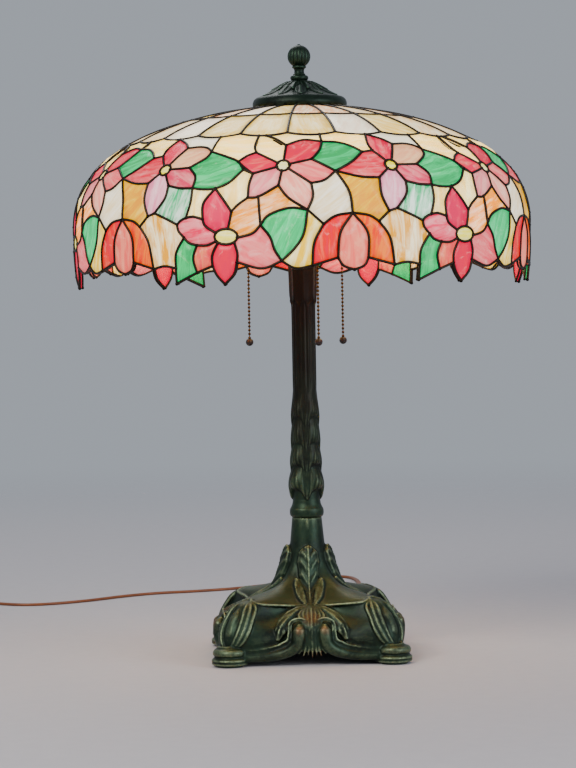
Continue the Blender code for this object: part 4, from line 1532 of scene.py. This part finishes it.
# %% Material: old brass
def plain_metal(name, low, high, roughness, scale, bump, metallic=1.0):
    """Metal whose colour and roughness wander with handling; the scale is patches per metre."""
    made, tree, shader = new_material(name)
    place = node(tree, "ShaderNodeTexCoord")
    wander = node(
        tree, "ShaderNodeTexNoise",
        {"Vector": place.outputs["Object"], "Scale": scale, "Detail": 5.0, "Roughness": 0.6},
    )
    tone = node(
        tree, "ShaderNodeMix", {0: wander.outputs["Fac"], 6: colour(low), 7: colour(high)},
        data_type="RGBA",
    )
    rough = node(
        tree, "ShaderNodeMapRange",
        {"Value": wander.outputs["Fac"], "To Min": roughness - 0.12, "To Max": roughness + 0.14},
    )
    grain = node(
        tree, "ShaderNodeBump",
        {"Height": wander.outputs["Fac"], "Strength": bump, "Distance": 0.0003},
    )
    tree.links.new(tone.outputs[2], shader.inputs["Base Color"])
    tree.links.new(rough.outputs["Result"], shader.inputs["Roughness"])
    tree.links.new(grain.outputs["Normal"], shader.inputs["Normal"])
    shader.inputs["Metallic"].default_value = metallic
    return made


old_brass = plain_metal("tarnished_brass", "#2a1d0e", "#6a4c24", 0.36, 180, 0.15)
zinc_steel = plain_metal("zinc_plated_steel", "#8f9090", "#b9b9b6", 0.34, 260, 0.12)
rough_iron = plain_metal("rough_cast_iron", "#1c1b1a", "#34312e", 0.72, 320, 0.6, 0.6)
phenolic = plain_metal("brown_phenolic", "#1c0f0a", "#2a1710", 0.38, 90, 0.05, 0.0)
felt = plain_metal("pressed_green_felt", "#15291c", "#274030", 0.86, 900, 0.8, 0.0)
felt.node_tree.nodes["Principled BSDF"].inputs["Sheen Weight"].default_value = 0.4

# %% Three bead chains
CHAIN_TREE = chain_tree("bead_chain")
CHAIN_SIZES = {"bead": 2.9 * MM, "pitch": 3.8 * MM, "link": 0.9 * MM}
for index in (1, 2, 3):
    low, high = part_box(f"pull_chain_{index}")
    x, y = (low.x + high.x) / 2, (low.y + high.y) / 2
    line = bpy.data.meshes.new("line")
    line.from_pydata([(x, y, high.z - 1.2 * MM), (x, y, low.z + 0.2 * MM)], [(0, 1)], [])
    chain = grown(f"bead_chain_{index}", line, CHAIN_TREE, finish=old_brass, **CHAIN_SIZES)
    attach(chain, f"chain_{index}")
    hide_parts(f"pull_chain_{index}")
print("chain:", len(chain.data.polygons), "faces each")

# %% [markdown]
# ## Bulbs and the parts that keep their shape
# The bulb's outline is turned finely enough to be smooth, in frosted glass that glows. Sockets,
# rods and fittings are right as they were engineered, so they only get their real finishes.

# %% Bulbs
frosted, tree, shader = new_material("frosted_bulb_glass")
# Etched inside, so the filament can't be seen and the whole bulb glows, its colour mottled a little.
place = node(tree, "ShaderNodeTexCoord")
mist = node(
    tree, "ShaderNodeTexNoise", {"Vector": place.outputs["Object"], "Scale": 45.0, "Detail": 2.0}
)
glow = node(
    tree, "ShaderNodeMix",
    {0: mist.outputs["Fac"], 6: colour("#ffd9a3"), 7: colour("#ffe9c8")},
    data_type="RGBA",
)
tree.links.new(glow.outputs[2], shader.inputs["Emission Color"])
shader.inputs["Base Color"].default_value = colour("#fff3e0")
shader.inputs["Emission Strength"].default_value = 9.0
shader.inputs["Roughness"].default_value = 0.35
shader.inputs["IOR"].default_value = 1.5
# radius and distance from the lamp's middle, along a bulb that lies on its side
BULB = [
    (13.0, 87.2), (13.4, 92), (15.5, 102), (20.5, 116), (26.5, 131), (29.5, 146), (28.2, 160),
    (22.0, 171), (11.5, 176), (0, 177),
]
FIRST_BULB, BULB_TURN = 13, 120
bulb_outline = [(0.0, BULB[0][1])] + fine_outline(BULB, 2.5)
bulb_reach = (BULB[0][1] + BULB[-1][1]) / 2 * MM
for index in (1, 2, 3):
    low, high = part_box(f"bulb_glass_{index}")
    middle = (low + high) / 2
    angle = radians(FIRST_BULB + BULB_TURN * (index - 1))
    away = Vector((sin(angle), -cos(angle), 0))
    lay = away.to_track_quat("Z", "Y").to_matrix().to_4x4()
    bulb = turned_relief(f"frosted_bulb_{index}", bulb_outline, frosted, 40)
    bulb.data.transform(Matrix.Translation((0, 0, middle.z)) @ lay)
    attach(bulb, f"bulb_{index}")
    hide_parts(f"bulb_glass_{index}")
    gap = (Vector((0, 0, middle.z)) + away * bulb_reach - middle).length
    print("bulb", index, "is", round(gap / MM, 1), "mm from the engineered one")

# %% Finishes of the engineered parts
FINISHES = {
    "brass": old_brass, "steel": zinc_steel, "iron": rough_iron, "phenolic": phenolic, "felt": felt,
    "bronze_base": base_bronze, "bronze_cap": cap_bronze, "cord": cord_vinyl, "bulb": frosted,
    "glass_cream": art_glass, "glass_blossom": art_glass,
}
for row in frame["record"]["subparts"]:
    item = frame["nodes"][row["node"]]
    if item.data.materials:
        item.data.materials[0] = FINISHES[row["material_slot"]]
    else:
        item.data.materials.append(FINISHES[row["material_slot"]])

# %% [markdown]
# ## Table, room and light
# The lamp stands on plain pale paper. The paper fades out a few metres away into the pale room, so
# no edge or horizon shows from any side. Three large soft lights show the form, and the glow of the
# glass and the bulbs does the rest.

# %% Stage
# metres from the lamp: solid paper to here, none from here, and the sheet's own edge
PAPER_SOLID, PAPER_GONE, PAPER_EDGE = 1.0, 3.4, 6.0
paper, tree, shader = new_material("pale_studio_paper")
# Matt paper: no gloss, so only the soft shadow tells where the table is.
place = node(tree, "ShaderNodeTexCoord")
fibre = node(
    tree, "ShaderNodeTexNoise", {"Vector": place.outputs["Object"], "Scale": 60.0, "Detail": 6.0}
)
tone = node(
    tree, "ShaderNodeMix",
    {0: fibre.outputs["Fac"], 6: colour("#b9b6bb"), 7: colour("#c1bec2")},
    data_type="RGBA",
)
from_lamp = node(tree, "ShaderNodeVectorMath", {0: place.outputs["Object"]}, operation="LENGTH")
solid = node(
    tree, "ShaderNodeMapRange",
    {
        "Value": from_lamp.outputs["Value"], "From Min": PAPER_SOLID, "From Max": PAPER_GONE,
        "To Min": 1.0, "To Max": 0.0,
    },
    interpolation_type="SMOOTHSTEP",
)
tree.links.new(tone.outputs[2], shader.inputs["Base Color"])
tree.links.new(solid.outputs["Result"], shader.inputs["Alpha"])
shader.inputs["Roughness"].default_value = 0.92
shader.inputs["Specular IOR Level"].default_value = 0.2
turns = [tau * k / 64 for k in range(64)]
rim = [(PAPER_EDGE * cos(a), PAPER_EDGE * sin(a), 0) for a in turns]
floor = add_mesh("floor", rim, [tuple(range(64))], paper)
world = bpy.data.worlds.new("studio")
world.use_nodes = True
background = world.node_tree.nodes["Background"]
background.inputs["Color"].default_value = colour("#b9c0ca")
background.inputs["Strength"].default_value = 0.75
bpy.context.scene.world = world


def soft_light(name, place, target, size, power, tint):
    """A round soft light at a place, facing a target."""
    lamp = bpy.data.lights.new(name, "AREA")
    lamp.shape, lamp.size, lamp.energy, lamp.color = "DISK", size, power, colour(tint)[:3]
    toward = (Vector(target) - Vector(place)).to_track_quat("-Z", "Y").to_matrix().to_4x4()
    into_scene(name, lamp).matrix_world = Matrix.Translation(place) @ toward


soft_light("key", (-1.5, -2.0, 1.9), (0, 0, 0.2), 1.5, 60, "#fff8ee")
soft_light("fill", (2.0, -1.6, 0.9), (0, 0, 0.2), 1.6, 34, "#f2f5ff")
soft_light("back", (-0.4, 2.0, 2.4), (0, 0.3, 0.3), 1.4, 16, "#ffffff")
